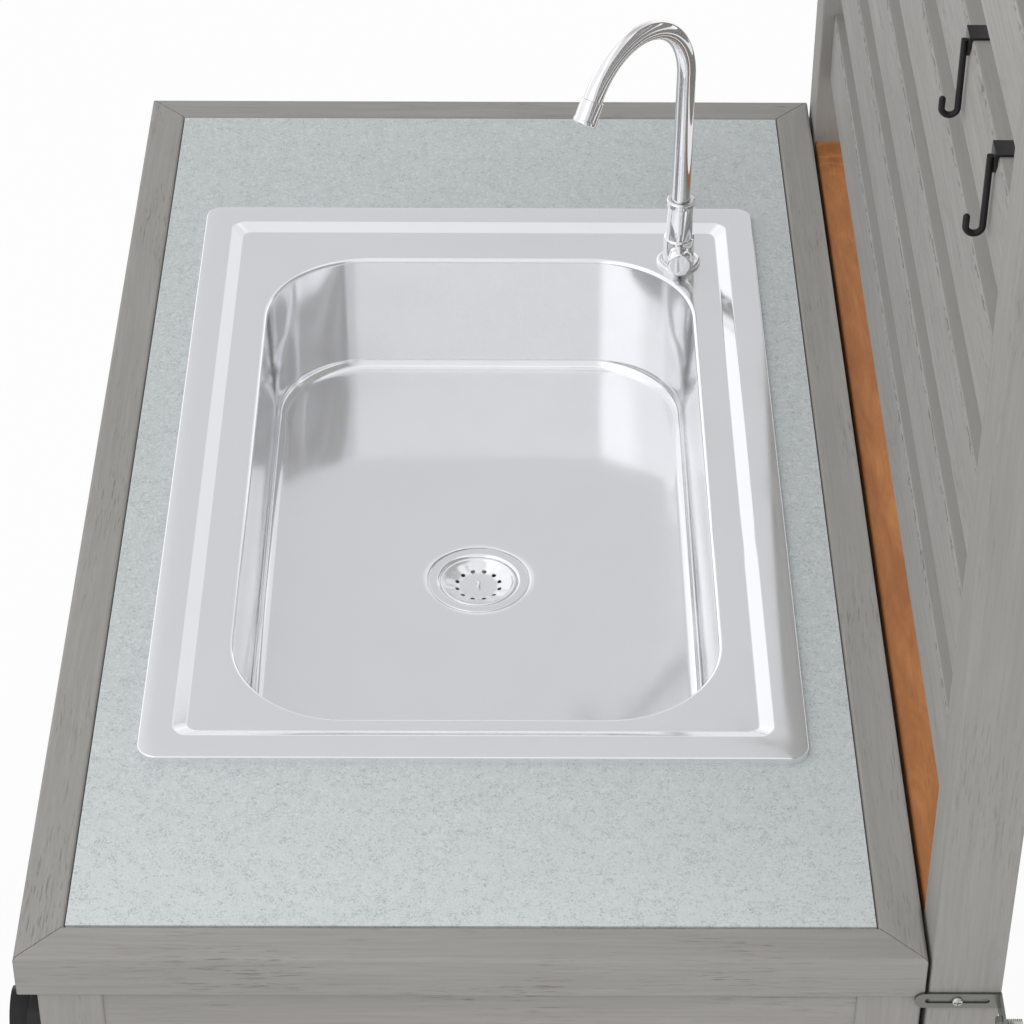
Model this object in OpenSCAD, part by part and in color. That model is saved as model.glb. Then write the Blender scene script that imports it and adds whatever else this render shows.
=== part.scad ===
// Outdoor sink table with a slatted back panel.
// Sizes are in millimetres. +X is the table's near end, -Y the user's side, +Z up.
// The origin is on the floor, under the middle of the whole object.

/* [Table top] */
// Length of the table top
table_l = 1107; // [1000:1:1300]
// Depth of the table top, from the user's side to the panel
table_d = 610; // [590:1:700]
// Height of the table top above the floor
table_h = 914; // [800:1:1000]
// Width of the mitred edging boards
edging_w = 31; // [26:1:34]
// Height of the mitred edging boards
edging_h = 36; // [32:1:50]
// Radius on the long edges of the edging
edging_r = 3; // [1:0.5:5]
// Thickness of the countertop
counter_t = 20; // [12:1:24]
// Depth of the countertop's face below the edging
counter_drop = 0.5; // [0:0.1:2]
// Width of the battens that carry the countertop
batten_w = 28; // [20:1:30]

/* [Legs, aprons and shelf] */
// Side of the square legs
leg_w = 44; // [40:1:60]
// Overhang of the edging past the user-side legs
front_overhang = 13; // [4:0.5:20]
// Overhang of the edging past the panel-side legs
back_overhang = 1; // [0:0.5:10]
// Overhang of the edging past the legs at each end
end_overhang = 3; // [1:0.5:12]
// Height of the aprons
apron_h = 90; // [60:1:110]
// Thickness of aprons and shelf rails
apron_t = 20; // [16:1:24]
// Setback of aprons and shelf rails behind the legs' outer faces
apron_setback = 2; // [0:0.5:6]
// Height of the shelf rails
shelf_rail_h = 60; // [45:1:90]
// Height of the shelf rails' top edge above the floor
shelf_z = 210; // [140:1:320]
// Width of the shelf boards
shelf_board_w = 88; // [60:1:120]
// Thickness of the shelf boards
shelf_board_t = 18; // [12:1:24]
// Smallest gap between shelf boards
shelf_gap_min = 8; // [4:1:20]
// Radius on the long edges of the other boards
board_r = 2; // [0.5:0.5:3]
// Diameter of the floor glides
glide_d = 32; // [20:1:40]
// Height of the floor glides
glide_h = 5; // [3:0.5:12]

/* [Joinery] */
// Length of the tenons
tenon_l = 14; // [8:1:16]
// Thickness of the tenons
tenon_t = 9; // [6:1:10]
// Shoulder above and below each tenon
tenon_shoulder = 10; // [6:1:14]
// Clearance round a tenon in its mortise
tenon_fit = 0.2; // [0.1:0.1:0.5]
// Opening of the mitre joints in the edging
mitre_gap = 0.8; // [0.2:0.1:1]

/* [Back panel] */
// Width of the posts, along the table
post_w = 53; // [45:1:70]
// Depth of the posts
post_d = 49; // [44:1:60]
// Gap between the table top and the posts
panel_gap = 2.6; // [1:0.1:10]
// Height of a slat
slat_h = 66.2; // [50:0.1:80]
// Gap between slats
slat_gap = 35.2; // [20:0.1:50]
// Thickness of a slat
slat_t = 19; // [14:1:22]
// Setback of the slats behind the posts' front faces
slat_setback = 10.6; // [4:0.1:14]
// Height of the lowest slat above the table top
slat_start = 55.6; // [20:0.1:90]
// Rise of the posts above the top slat
post_rise = 15; // [5:1:60]
// Height of the cedar rail
cedar_h = 89; // [60:1:120]
// Thickness of the cedar rail
cedar_t = 38; // [19:1:40]
// Depth of the cedar rail's top edge below the table top
cedar_drop = 11; // [5:1:40]
// Setback of the cedar rail behind the posts' front faces
cedar_setback = 2; // [1:0.5:5]
// Height of the foot rail's lower edge above the floor
foot_rail_z = 120; // [60:1:250]
// Diameter of the bolts that tie the posts to the legs
tie_bolt_d = 8; // [6:1:10]

/* [Sink] */
// Width of the countertop between the edging and the rim, at the user's side and the panel side
rim_side = 34; // [28:1:42]
// Corner radius of the rim
rim_corner_r = 14.5; // [10:0.5:24]
// Width of the raised band round the rim
rim_band = 24; // [18:1:26]
// Width of the sloping step inside the band
rim_step = 9; // [6:0.5:12]
// Height of the rim above the countertop
rim_h = 6; // [5:0.5:10]
// Drop from the rim to the sink's deck
step_drop = 5; // [3:0.5:5]
// Length of the basin's opening
basin_l = 597; // [480:1:640]
// Corner radius of the basin's opening
basin_corner_r = 85; // [70:1:110]
// Distance from the rim's near end to the basin's opening
basin_near = 48; // [44:1:55]
// Distance from the rim's far end, where the tap stands, to the basin's opening
basin_far = 76; // [70:1:100]
// Distance from the rim's user side to the basin's opening
basin_front = 61.5; // [52:0.5:65]
// Distance from the rim's panel side to the basin's opening
basin_back = 58.5; // [52:0.5:65]
// Depth of the basin below the deck
basin_depth = 110; // [90:1:180]
// Inset of the basin's floor from its opening
basin_draft = 14; // [6:1:20]
// Radius of the roll from the deck into the basin
roll_r = 6; // [4:0.5:8]
// Radius between the basin's walls and floor
floor_r = 24; // [15:1:35]
// Fall of the floor towards the drain
floor_fall = 4; // [1:0.5:8]
// Thickness of the sink's sheet steel
sheet_t = 1; // [0.8:0.1:1.5]

/* [Drain] */
// Diameter of the drain's flange
flange_d = 82; // [76:1:95]
// Inside diameter of the drain cup
cup_d = 63; // [56:1:66]
// Depth of the drain cup
cup_h = 42; // [34:1:60]
// Wall of the drain cup
cup_wall = 1.6; // [1.2:0.1:3]
// Outside diameter of the tailpiece
tail_d = 38.1; // [32:0.1:40]
// Free length of the tailpiece below its nut
tail_l = 70; // [40:1:120]
// Depth of the strainer basket
basket_h = 15; // [10:1:22]
// Diameter of the strainer's centre pin
strainer_pin_d = 3; // [2:0.5:5]
// Height of the strainer's centre pin
strainer_pin_h = 14; // [8:1:20]

/* [Tap] */
// Distance from the rim's far end to the tap
tap_from_far = 78; // [70:1:90]
// Distance from the rim's panel side to the tap
tap_from_back = 67; // [60:1:75]
// Diameter of the tap's base flange
tap_flange_d = 38; // [34:1:42]
// Thickness of the tap's base flange
tap_flange_t = 4; // [3:0.5:6]
// Diameter of the tap's body
tap_body_d = 25; // [24:0.5:30]
// Height of the tap's body above the deck
tap_body_h = 64.5; // [58:0.5:90]
// Diameter of the spout's tube
spout_d = 16; // [12:0.5:18]
// Wall of the spout's tube
spout_wall = 1.2; // [0.8:0.1:2]
// Height of the arch's centre above the deck
spout_rise = 186.5; // [150:0.5:260]
// Radius of the spout's arch
spout_r = 63.6; // [50:0.1:64]
// Angle through which the arch turns
spout_turn = 150; // [130:1:180]
// Straight tube past the arch
spout_tail = 7; // [4:0.5:12]
// Direction of the spout from the table's near end, towards the user
spout_aim = 41.7; // [0:0.1:90]
// Diameter of the aerator
aerator_d = 20; // [19:0.5:24]
// Length of the aerator
aerator_l = 20; // [16:0.5:28]
// Diameter of the tap's turning knob
knob_d = 22; // [18:0.5:24]
// Length of the tap's turning knob
knob_l = 12; // [8:0.5:20]
// Diameter of the tap's threaded shank
shank_d = 20.9; // [18:0.1:22]
// Length of the shank below the deck
shank_l = 48; // [40:1:70]

/* [Hooks] */
// Distance from the table's near end to the first hook
hook_start = 165; // [120:1:300]
// Distance between the hooks
hook_pitch = 140; // [60:1:300]
// Width of a hook's strap over the slat
strap_w = 17; // [12:0.5:25]
// Thickness of the strap
strap_t = 1.6; // [1:0.1:2.5]
// Length of the strap's front leg
strap_drop = 16; // [14:1:50]
// Diameter of a hook's rod
rod_d = 4.5; // [4:0.1:6]
// Length of a hook's rod from its top to the bottom of its bend
rod_l = 58; // [50:1:66]
// Radius of a hook's bend at the rod's centre
hook_bend_r = 5.2; // [5:0.1:9]
// Length of a hook's tip above its bend
hook_tip = 6.5; // [3:0.5:15]

/* [Wall brackets] */
// Height of a bracket's strip
bracket_h = 13; // [12:0.5:20]
// Thickness of a bracket's strip
bracket_t = 2; // [1.5:0.1:3]
// Length of the leg across the post
bracket_l = 58.4; // [52:0.1:64]
// Distance from the post to the wall bolt
bracket_reach = 22.5; // [16:0.5:40]
// Depth of the bracket's middle below the table top
bracket_drop = 36.5; // [36:0.5:60]
// Length of the bracket's slot
slot_l = 43.6; // [30:0.1:44]
// Width of the bracket's slot
slot_w = 4.4; // [4.4:0.1:5]
// Diameter of the wall bolt
stud_d = 6; // [5:0.5:8]
// Length of the wall bolt behind the panel
stud_out = 11.5; // [8:0.5:30]

/* [Bottle opener] */
// Width of the opener
opener_w = 40; // [36:1:44]
// Height of the opener
opener_h = 76; // [70:1:90]
// Thickness of the opener's plate at its middle
opener_t = 10.2; // [8:0.1:11]
// Distance that the opener's lip stands out from the leg
opener_d = 22; // [20:0.5:26]

/* [Hidden] */

wood = [0.60, 0.60, 0.57];
cedar = [0.66, 0.42, 0.28];
stone = [0.78, 0.83, 0.83];
steel = [0.78, 0.79, 0.80];
chrome = [0.88, 0.89, 0.90];
zinc = [0.45, 0.46, 0.45];
black = [0.13, 0.13, 0.13];
brass = [0.72, 0.58, 0.30];
rubber = [0.15, 0.15, 0.16];

slat_n = 7;
curve_fn = 48;
// Clearance between pieces that are fitted but don't move
seat_fit = 0.2;
// Clearance between pieces that move past each other
move_fit = 0.3;
// Radial clearance of a turning shaft
shaft_fit = 0.08;
// Radial clearance of a pipe through the sink's sheet
hole_fit = 0.6;

// The table's place along Y, so that the whole object is centred
half_l = table_l / 2;
front_reach = table_d / 2 + max(0, opener_d - front_overhang);
back_reach = table_d / 2 + panel_gap + post_d + stud_out;
table_y = (front_reach - back_reach) / 2;
front_y = table_y - table_d / 2;
back_y = table_y + table_d / 2;

// Legs and rails
leg_top = table_h - edging_h;
leg_x = half_l - end_overhang - leg_w / 2;
leg_front_y = front_y + front_overhang + leg_w / 2;
leg_back_y = back_y - back_overhang - leg_w / 2;
legs_mid_y = (leg_front_y + leg_back_y) / 2;
long_rail_l = 2 * leg_x - leg_w;
end_rail_l = leg_back_y - leg_front_y - leg_w;
rail_inset = leg_w / 2 - apron_setback - apron_t / 2;
apron_z = leg_top - apron_h / 2;
shelf_rail_z = shelf_z - shelf_rail_h / 2;
// Room round the waste pipe and the hose where they pass through the shelf
hose_room = 7;

// Countertop
counter_gap = 0.9;
counter_top = table_h - counter_drop;
counter_l = table_l - 2 * edging_w - 2 * counter_gap;
counter_d = table_d - 2 * edging_w - 2 * counter_gap;
rim_land = 12;
rim_l = basin_near + basin_l + basin_far;
rim_d = table_d - 2 * edging_w - 2 * rim_side;
basin_d = rim_d - basin_front - basin_back;
cutout_l = rim_l - 2 * rim_land;
cutout_d = rim_d - 2 * rim_land;
cutout_r = 10;
batten_h = counter_top - counter_t - leg_top;

// Sink
rim_top = counter_top + rim_h;
deck_z = rim_top - step_drop;
floor_z = deck_z - basin_depth;
basin_x = rim_l / 2 - basin_near - basin_l / 2;
basin_y = table_y - rim_d / 2 + basin_front + basin_d / 2;
lip_r = 2.5;
step_corner_r = 10;
recess_r = flange_d / 2 + 1.5;
recess_ease = 5;
recess_drop = 2;
seat_z = floor_z - floor_fall - recess_drop;
drain_hole_r = cup_d / 2 + cup_wall + hole_fit;
corner_steps = 10;
arc_steps = 4;

// Clips under the rim
clip_w = 14;
clip_t = 1.5;
clip_foot = 14;
clip_below = 9;
clip_screw_r = 2;
clip_screw_l = 16;
clip_head_r = 4;
clip_head_h = 3;
clip_spread = 0.36 * cutout_l;

// Drain
flange_t = 1.4;
cup_r = cup_d / 2;
cup_bottom = seat_z - cup_h;
neck_r = tail_d / 2 + 1.5;
neck_l = 14;
gasket_r = 42;
gasket_t = 3;
locknut_t = 9;
tail_wall = 1.3;
tail_flange_t = 3;
tail_nut_l = 20;
tail_top = cup_bottom - neck_l;
flute_n = 12;
flute_r = 6.5;
basket_t = 1.2;
ledge_w = 2;
ledge_z = seat_z - 1.2;
basket_r = cup_r - move_fit;
basket_wall_r = basket_r - ledge_w - move_fit;
basket_top = ledge_z + move_fit + basket_t;
basket_floor = basket_top - basket_h;

// Tap
tap_x = tap_from_far - rim_l / 2;
tap_y = table_y + rim_d / 2 - tap_from_back;
deck_hole_r = shank_d / 2 + hole_fit;
stem_d = spout_d - 2;
stem_l = 24;
stem_wall = 2;
knob_axis = 16;
barrel_r = 8.5;
barrel_l = 18.5;
cartridge_r = 6.5;
spindle_r = 3;
spindle_start = 3;
spindle_in = 0.6 * knob_l;
bonnet_h = 7.5;
waterway_r = 4;
thread_core_r = shank_d / 2 - 0.8;
washer_t = 3;
backnut_t = 9;
spout_foot = deck_z + tap_body_h + seat_fit;
aerator_grip = 3;

// Panel
post_front_y = back_y + panel_gap;
post_y = post_front_y + post_d / 2;
post_back_y = post_front_y + post_d;
post_x = half_l - post_w / 2;
panel_l = table_l - 2 * post_w;
slat_pitch = slat_h + slat_gap;
slat_y = post_front_y + slat_setback + slat_t / 2;
slats_top = table_h + slat_start + (slat_n - 1) * slat_pitch + slat_h;
post_top = slats_top + post_rise;
cedar_y = post_front_y + cedar_setback + cedar_t / 2;
cedar_z = table_h - cedar_drop - cedar_h / 2;
foot_rail_mid = foot_rail_z + cedar_h / 2;

// Bolts that tie the posts to the panel-side legs
tie_hole_r = tie_bolt_d / 2 + move_fit;
tie_above_shelf = 90;
tie_below_apron = 60;
tie_heights = [shelf_z + tie_above_shelf, leg_top - apron_h - tie_below_apron];
tie_gap = panel_gap + back_overhang;
tie_nut_t = 7;
tie_head_t = 4;
tie_end = 3;

// Wall brackets
bracket_z = table_h - bracket_drop;
slot_near = 7;
bracket_screw_r = 2;
bracket_screw_l = 30;
bracket_head_r = 3.7;
bracket_head_h = 2.4;
bracket_bolt_head = 4;
bracket_screw_y = post_back_y - bracket_l + slot_near + slot_l / 2;
wall_bolt_x = half_l + bracket_reach;

// Hooks
hook_slat = 5;
hook_slat_top = table_h + slat_start + (hook_slat - 1) * slat_pitch + slat_h;
hook_slat_front = slat_y - slat_t / 2;

// Bottle opener
opener_top = leg_top - 2;
opener_x = leg_x;
opener_y = leg_front_y - leg_w / 2;
opener_screw_r = 1.9;
opener_screw_l = 20;
opener_screw_in = 12;
opener_head_r = 3.8;
opener_head_h = 2.2;
opener_hood_r = opener_w / 2 - 1.5;
opener_mouth_r = opener_hood_r - 4;
opener_hood_z = -opener_h / 2 - 2;

// The plate's dome, from its thin ends, and the flat seats of the screws' heads
opener_end_t = 2;
opener_bulge = opener_t - opener_end_t;
opener_dome_r = (pow(opener_h / 2, 2) + pow(opener_bulge, 2)) / (2 * opener_bulge);
opener_seat_in = opener_h / 2 - opener_screw_in + opener_head_r;
opener_seat = opener_t - opener_dome_r + sqrt(pow(opener_dome_r, 2) - pow(opener_seat_in, 2));

// Rectangle with rounded corners, centred
module round_rect(w, h, r) {
    square([w - 2 * r, h], center = true);
    square([w, h - 2 * r], center = true);
    for (x = [-1, 1], y = [-1, 1])
        translate([x * (w / 2 - r), y * (h / 2 - r)]) circle(r, $fn = 24);
}

// Board along X with eased long edges, centred
module board(l, t, h, r = board_r) {
    rotate([90, 0, 90]) linear_extrude(l, center = true) round_rect(t, h, r);
}

// Tenons at both ends of a board of length l and height h, with their clearance
module tenons(l, h, fit = 0) {
    cube([l + 2 * (tenon_l + fit), tenon_t + 2 * fit, h - 2 * tenon_shoulder + 2 * fit],
        center = true);
}

// Rail along X with a tenon at each end
module rail(l, t, h) {
    board(l, t, h);
    tenons(l, h);
}

// Upright with eased edges, from z0 to z1
module upright(w, d, z0, z1) {
    translate([0, 0, z0]) linear_extrude(z1 - z0) round_rect(w, d, board_r);
}

// Places of the rails: side is -1 for the user's side and 1 for the panel's
module at_long_rail(side, z) {
    y = side < 0 ? leg_front_y - rail_inset : leg_back_y + rail_inset;
    translate([0, y, z]) children();
}

// Places of the end rails: side is 1 for the near end and -1 for the far end
module at_end_rail(side, z) {
    translate([side * (leg_x + rail_inset), legs_mid_y, z]) rotate(90) children();
}

module at_slat(k) {
    z = table_h + slat_start + (k - 1) * slat_pitch + slat_h / 2;
    translate([0, slat_y, z]) children();
}

// Places of the tie bolts, with Z along the bolt towards the panel
module at_tie_bolts(ends = [-1, 1]) {
    for (side = ends, z = tie_heights)
        translate([side * leg_x, leg_back_y - leg_w / 2, z]) rotate([-90, 0, 0]) children();
}

// Places of the opener's screws, with Z pointing out of the leg
module at_opener_screws() {
    for (z = [-opener_screw_in, opener_screw_in - opener_h])
        translate([opener_x, opener_y, opener_top + z]) rotate([90, 0, 0]) children();
}

// Screw with a domed head, its head's seat at the origin and its tip towards -Z
module screw(r, l, head_r, head_h) {
    translate([0, 0, -l]) cylinder(r = r, h = l, $fn = curve_fn);
    dome_r = (head_r * head_r + head_h * head_h) / (2 * head_h);
    intersection() {
        cylinder(r = head_r, h = head_h, $fn = curve_fn);
        translate([0, 0, head_h - dome_r]) sphere(dome_r, $fn = curve_fn);
    }
}

module ring(r_out, r_in, h) {
    rotate_extrude($fn = curve_fn) translate([r_in, 0]) square([r_out - r_in, h]);
}

// One leg: x is 1 for the near end, y is 1 for the panel's side
module leg(x, y) {
    color(wood) difference() {
        translate([x * leg_x, y < 0 ? leg_front_y : leg_back_y, 0])
            upright(leg_w, leg_w, glide_h, leg_top);
        at_long_rail(y, apron_z) tenons(long_rail_l, apron_h, tenon_fit);
        at_end_rail(x, apron_z) tenons(end_rail_l, apron_h, tenon_fit);
        at_long_rail(y, shelf_rail_z) tenons(long_rail_l, shelf_rail_h, tenon_fit);
        at_end_rail(x, shelf_rail_z) tenons(end_rail_l, shelf_rail_h, tenon_fit);
        if (y > 0)
            at_tie_bolts([x]) translate([0, 0, -1])
                cylinder(r = tie_hole_r, h = leg_w + 2, $fn = curve_fn);
        if (x > 0 && y < 0)
            at_opener_screws() translate([0, 0, -opener_screw_l])
                cylinder(r = opener_screw_r + seat_fit / 2, h = opener_screw_l + 1,
                    $fn = curve_fn);
    }
}

module floor_glides() {
    feet = concat(
        [for (x = [-1, 1], y = [leg_front_y, leg_back_y]) [x * leg_x, y]],
        [for (x = [-1, 1]) [x * post_x, post_y]]);
    ease = 1;
    color(rubber) for (p = feet) translate(p)
        rotate_extrude($fn = curve_fn) polygon([
            [0, 0], [glide_d / 2 - ease, 0], [glide_d / 2, ease],
            [glide_d / 2, glide_h], [0, glide_h]]);
}

module apron_front() color(wood) at_long_rail(-1, apron_z) rail(long_rail_l, apron_t, apron_h);
module apron_back() color(wood) at_long_rail(1, apron_z) rail(long_rail_l, apron_t, apron_h);
module apron_near() color(wood) at_end_rail(1, apron_z) rail(end_rail_l, apron_t, apron_h);
module apron_far() color(wood) at_end_rail(-1, apron_z) rail(end_rail_l, apron_t, apron_h);

module shelf_rail_front()
    color(wood) at_long_rail(-1, shelf_rail_z) rail(long_rail_l, apron_t, shelf_rail_h);
module shelf_rail_back()
    color(wood) at_long_rail(1, shelf_rail_z) rail(long_rail_l, apron_t, shelf_rail_h);
module shelf_rail_near()
    color(wood) at_end_rail(1, shelf_rail_z) rail(end_rail_l, apron_t, shelf_rail_h);
module shelf_rail_far()
    color(wood) at_end_rail(-1, shelf_rail_z) rail(end_rail_l, apron_t, shelf_rail_h);

// Boards laid across the two long shelf rails, evenly between the legs. The waste pipe and the
// tap's hose pass down through two holes bored under them.
module shelf_boards() {
    count = floor((long_rail_l - shelf_gap_min) / (shelf_board_w + shelf_gap_min));
    gap = (long_rail_l - count * shelf_board_w) / (count + 1);
    length = end_rail_l + 2 * (leg_w - apron_setback);
    color(wood) difference() {
        for (k = [0:count - 1])
            translate([-long_rail_l / 2 + gap + shelf_board_w / 2 + k * (shelf_board_w + gap),
                legs_mid_y, shelf_z + shelf_board_t / 2])
                rotate(90) board(length, shelf_board_w, shelf_board_t);
        at_drain(shelf_z - 1)
            cylinder(r = tail_d / 2 + hose_room, h = shelf_board_t + 2, $fn = curve_fn);
        at_tap(shelf_z - 1)
            cylinder(r = shank_d / 2 + hose_room, h = shelf_board_t + 2, $fn = curve_fn);
    }
}

// One edging board of length l on its outer side, at distance d from the table's middle
module edging(l, d) {
    run = l / 2 - mitre_gap / 2;
    inner = run - edging_w;
    color(wood) translate([0, table_y, 0]) intersection() {
        translate([0, -d + edging_w / 2, table_h - edging_h / 2])
            board(l, edging_w, edging_h, edging_r);
        translate([0, -d, leg_top - 1]) linear_extrude(edging_h + 2)
            polygon([[-run, 0], [run, 0], [inner, edging_w], [-inner, edging_w]]);
    }
}

module edging_turned(angle, l, d)
    translate([0, table_y, 0]) rotate(angle) translate([0, -table_y, 0]) edging(l, d);

module edging_front() edging(table_l, table_d / 2);
module edging_back() edging_turned(180, table_l, table_d / 2);
module edging_near() edging_turned(90, table_d, table_l / 2);
module edging_far() edging_turned(-90, table_d, table_l / 2);

module countertop() {
    color(stone) translate([0, table_y, counter_top - counter_t])
        linear_extrude(counter_t) difference() {
            square([counter_l, counter_d], center = true);
            round_rect(cutout_l, cutout_d, cutout_r);
        }
}

// Battens inside the edging, under the countertop's edges
module counter_battens() {
    inner_l = table_l - 2 * edging_w;
    inner_d = table_d - 2 * edging_w;
    z = leg_top + batten_h / 2;
    color(wood) translate([0, table_y, z]) for (side = [-1, 1]) {
        translate([0, side * (inner_d - batten_w) / 2, 0])
            cube([inner_l, batten_w, batten_h], center = true);
        translate([side * (inner_l - batten_w) / 2, 0, 0])
            cube([batten_w, inner_d - 2 * batten_w - 2 * seat_fit, batten_h], center = true);
    }
}

// The pressed sink is lofted through rings: [middle x, middle y, half length, half depth, corner
// radius, height]. rim_ring lies inset from the rim, basin_ring from the basin's opening and
// drain_ring is a circle round the drain.
function rim_ring(inset, r, z) =
    [0, table_y, rim_l / 2 - inset, rim_d / 2 - inset, r, z];
function basin_ring(inset, z) =
    [basin_x, basin_y, basin_l / 2 - inset, basin_d / 2 - inset, basin_corner_r - inset, z];
function drain_ring(r, z) = [basin_x, basin_y, r, r, r, z];

function ring_points(g) = [
    for (corner = [0:3], k = [0:corner_steps])
        let (a = 90 * (corner + k / corner_steps),
            sx = corner == 0 || corner == 3 ? 1 : -1,
            sy = corner < 2 ? 1 : -1)
        [g[0] + sx * (g[2] - g[4]) + g[4] * cos(a),
         g[1] + sy * (g[3] - g[4]) + g[4] * sin(a), g[5]]];

// Rings of one face of the sheet, from the lip's foot to the drain. The shift t is 0 for the
// upper face and the sheet's thickness for the lower one.
function sheet_rings(t) = [
    rim_ring(t, rim_corner_r - t, counter_top),
    for (k = [0:arc_steps]) let (a = 90 * k / arc_steps, r = lip_r - t)
        rim_ring(lip_r - r * cos(a), rim_corner_r - lip_r + r * cos(a),
            rim_top - lip_r + r * sin(a)),
    rim_ring(rim_band, step_corner_r, rim_top - t),
    rim_ring(rim_band + rim_step, step_corner_r, deck_z - t),
    for (k = [0:arc_steps]) let (a = 90 * k / arc_steps, r = roll_r - t)
        basin_ring(-roll_r + r * sin(a), deck_z - roll_r + r * cos(a)),
    for (k = [0:arc_steps]) let (a = 90 * k / arc_steps, r = floor_r + t)
        basin_ring(basin_draft + floor_r - r * cos(a), floor_z + floor_r - r * sin(a)),
    drain_ring(recess_r + recess_ease, floor_z - floor_fall - t),
    drain_ring(recess_r, seat_z - t),
    drain_ring(cup_r / 2, seat_z - t)];

// Solid between two lists of rings that share their first edge
module sheet_between(upper, lower) {
    rings = concat(upper, [for (k = [len(lower) - 1:-1:0]) lower[k]]);
    n = 4 * (corner_steps + 1);
    last = len(upper) - 1;
    points = [for (g = rings) each ring_points(g)];
    walls = [for (i = [0:len(rings) - 1], k = [0:n - 1]) if (i != last)
        let (j = (i + 1) % len(rings), a = i * n + k, b = i * n + (k + 1) % n,
            c = j * n + (k + 1) % n, d = j * n + k)
        each [[a, c, b], [a, d, c]]];
    upper_cap = [for (k = [n - 1:-1:0]) last * n + k];
    lower_cap = [for (k = [0:n - 1]) (last + 1) * n + k];
    polyhedron(points, concat(walls, [upper_cap, lower_cap]));
}

module sink_bowl() {
    color(steel) difference() {
        sheet_between(sheet_rings(0), sheet_rings(sheet_t));
        translate([basin_x, basin_y, seat_z - 3])
            cylinder(r = drain_hole_r, h = 6, $fn = curve_fn);
        translate([tap_x, tap_y, deck_z - 3]) cylinder(r = deck_hole_r, h = 6, $fn = curve_fn);
    }
}

// Foam seal between the rim and the countertop
module sink_seal() {
    seal_in = 2;
    color(rubber) translate([0, table_y, counter_top])
        linear_extrude(rim_h - sheet_t) difference() {
            round_rect(rim_l - 2 * (sheet_t + seal_in), rim_d - 2 * (sheet_t + seal_in),
                rim_corner_r - seal_in);
            round_rect(cutout_l + 2, cutout_d + 2, cutout_r);
        }
}

// Places of the clips, with X pointing out over the countertop's cut-out edge
module at_clips() {
    translate([0, table_y, 0]) {
        for (x = [-1, 0, 1], side = [-1, 1])
            translate([x * clip_spread, side * (cutout_d / 2 - 1), 0])
                rotate(side * 90) children();
        for (side = [-1, 1])
            translate([side * (cutout_l / 2 - 1), 0, 0])
                rotate(side > 0 ? 0 : 180) children();
    }
}

// Clips that hang from the rim and reach under the countertop
module sink_clips() {
    foot_z = counter_top - counter_t - clip_below;
    hang = rim_top - sheet_t - foot_z;
    color(zinc) at_clips() difference() {
        translate([-clip_t, -clip_w / 2, foot_z]) {
            cube([clip_t, clip_w, hang]);
            cube([clip_foot + clip_t, clip_w, clip_t]);
        }
        translate([clip_foot / 2, 0, foot_z - 1])
            cylinder(r = clip_screw_r + seat_fit / 2, h = clip_t + 2, $fn = curve_fn);
    }
}

module clip_screws() {
    tip = counter_top - counter_t;
    color(zinc) at_clips() translate([clip_foot / 2, 0, 0]) {
        translate([0, 0, tip - clip_screw_l])
            cylinder(r = clip_screw_r, h = clip_screw_l, $fn = curve_fn);
        translate([0, 0, tip - clip_screw_l - clip_head_h])
            cylinder(r = clip_head_r, h = clip_head_h, $fn = curve_fn);
    }
}

module at_drain(z) translate([basin_x, basin_y, z]) children();

// Drain cup: dished flange, straight cup and a threaded neck
module drain_cup() {
    inner_neck = tail_d / 2 - tail_wall;
    color(steel) at_drain(0) rotate_extrude($fn = curve_fn) polygon([
        [flange_d / 2, seat_z], [flange_d / 2 - 1, seat_z + flange_t],
        [cup_r + 4, seat_z + flange_t], [cup_r, ledge_z + 1.5], [cup_r, ledge_z],
        [cup_r - ledge_w, ledge_z], [cup_r - ledge_w, cup_bottom + 8],
        [inner_neck + 3, cup_bottom + cup_wall],
        [inner_neck, cup_bottom], [inner_neck, tail_top], [neck_r, tail_top],
        [neck_r, cup_bottom], [cup_r + cup_wall - 6, cup_bottom],
        [cup_r + cup_wall, cup_bottom + 7], [cup_r + cup_wall, seat_z]]);
}

module drain_gasket() {
    color(rubber) at_drain(seat_z - sheet_t - gasket_t)
        ring(gasket_r, cup_r + cup_wall + seat_fit, gasket_t);
}

// Ring nut with lugs, run up against the gasket
module drain_locknut() {
    lug_n = 6;
    bore_r = cup_r + cup_wall + seat_fit;
    color(zinc) at_drain(seat_z - sheet_t - gasket_t - locknut_t) difference() {
        union() {
            cylinder(r = gasket_r - 2, h = locknut_t, $fn = curve_fn);
            for (k = [0:lug_n - 1]) rotate(k * 360 / lug_n)
                translate([gasket_r - 5, -4, 0]) cube([8, 8, locknut_t - 2]);
        }
        translate([0, 0, -1]) cylinder(r = bore_r, h = locknut_t + 2, $fn = curve_fn);
    }
}

// Tailpiece: a flanged tube with a bead under its nut
module tailpiece() {
    r = tail_d / 2;
    bead_z = tail_top - tail_nut_l + 4;
    foot = bead_z - 6 - tail_l;
    color(chrome) at_drain(0) rotate_extrude($fn = curve_fn) polygon([
        [r - tail_wall, tail_top], [neck_r, tail_top], [neck_r, tail_top - tail_flange_t],
        [r, tail_top - tail_flange_t], [r, bead_z], [r + 0.8, bead_z - 3], [r, bead_z - 6],
        [r, foot], [r - tail_wall, foot]]);
}

// Slip nut that holds the tailpiece to the cup's neck
module tailpiece_nut() {
    color(chrome) at_drain(tail_top - tail_nut_l + 8) difference() {
        union() {
            cylinder(r = neck_r + 5, h = tail_nut_l - 2, $fn = 8);
            cylinder(r = neck_r + 3, h = tail_nut_l, $fn = curve_fn);
        }
        translate([0, 0, -1])
            cylinder(r = tail_d / 2 + seat_fit, h = tail_nut_l + 2, $fn = curve_fn);
        translate([0, 0, 8 - tail_flange_t - seat_fit + 1])
            cylinder(r = neck_r + seat_fit, h = tail_nut_l, $fn = curve_fn);
    }
}

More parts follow.
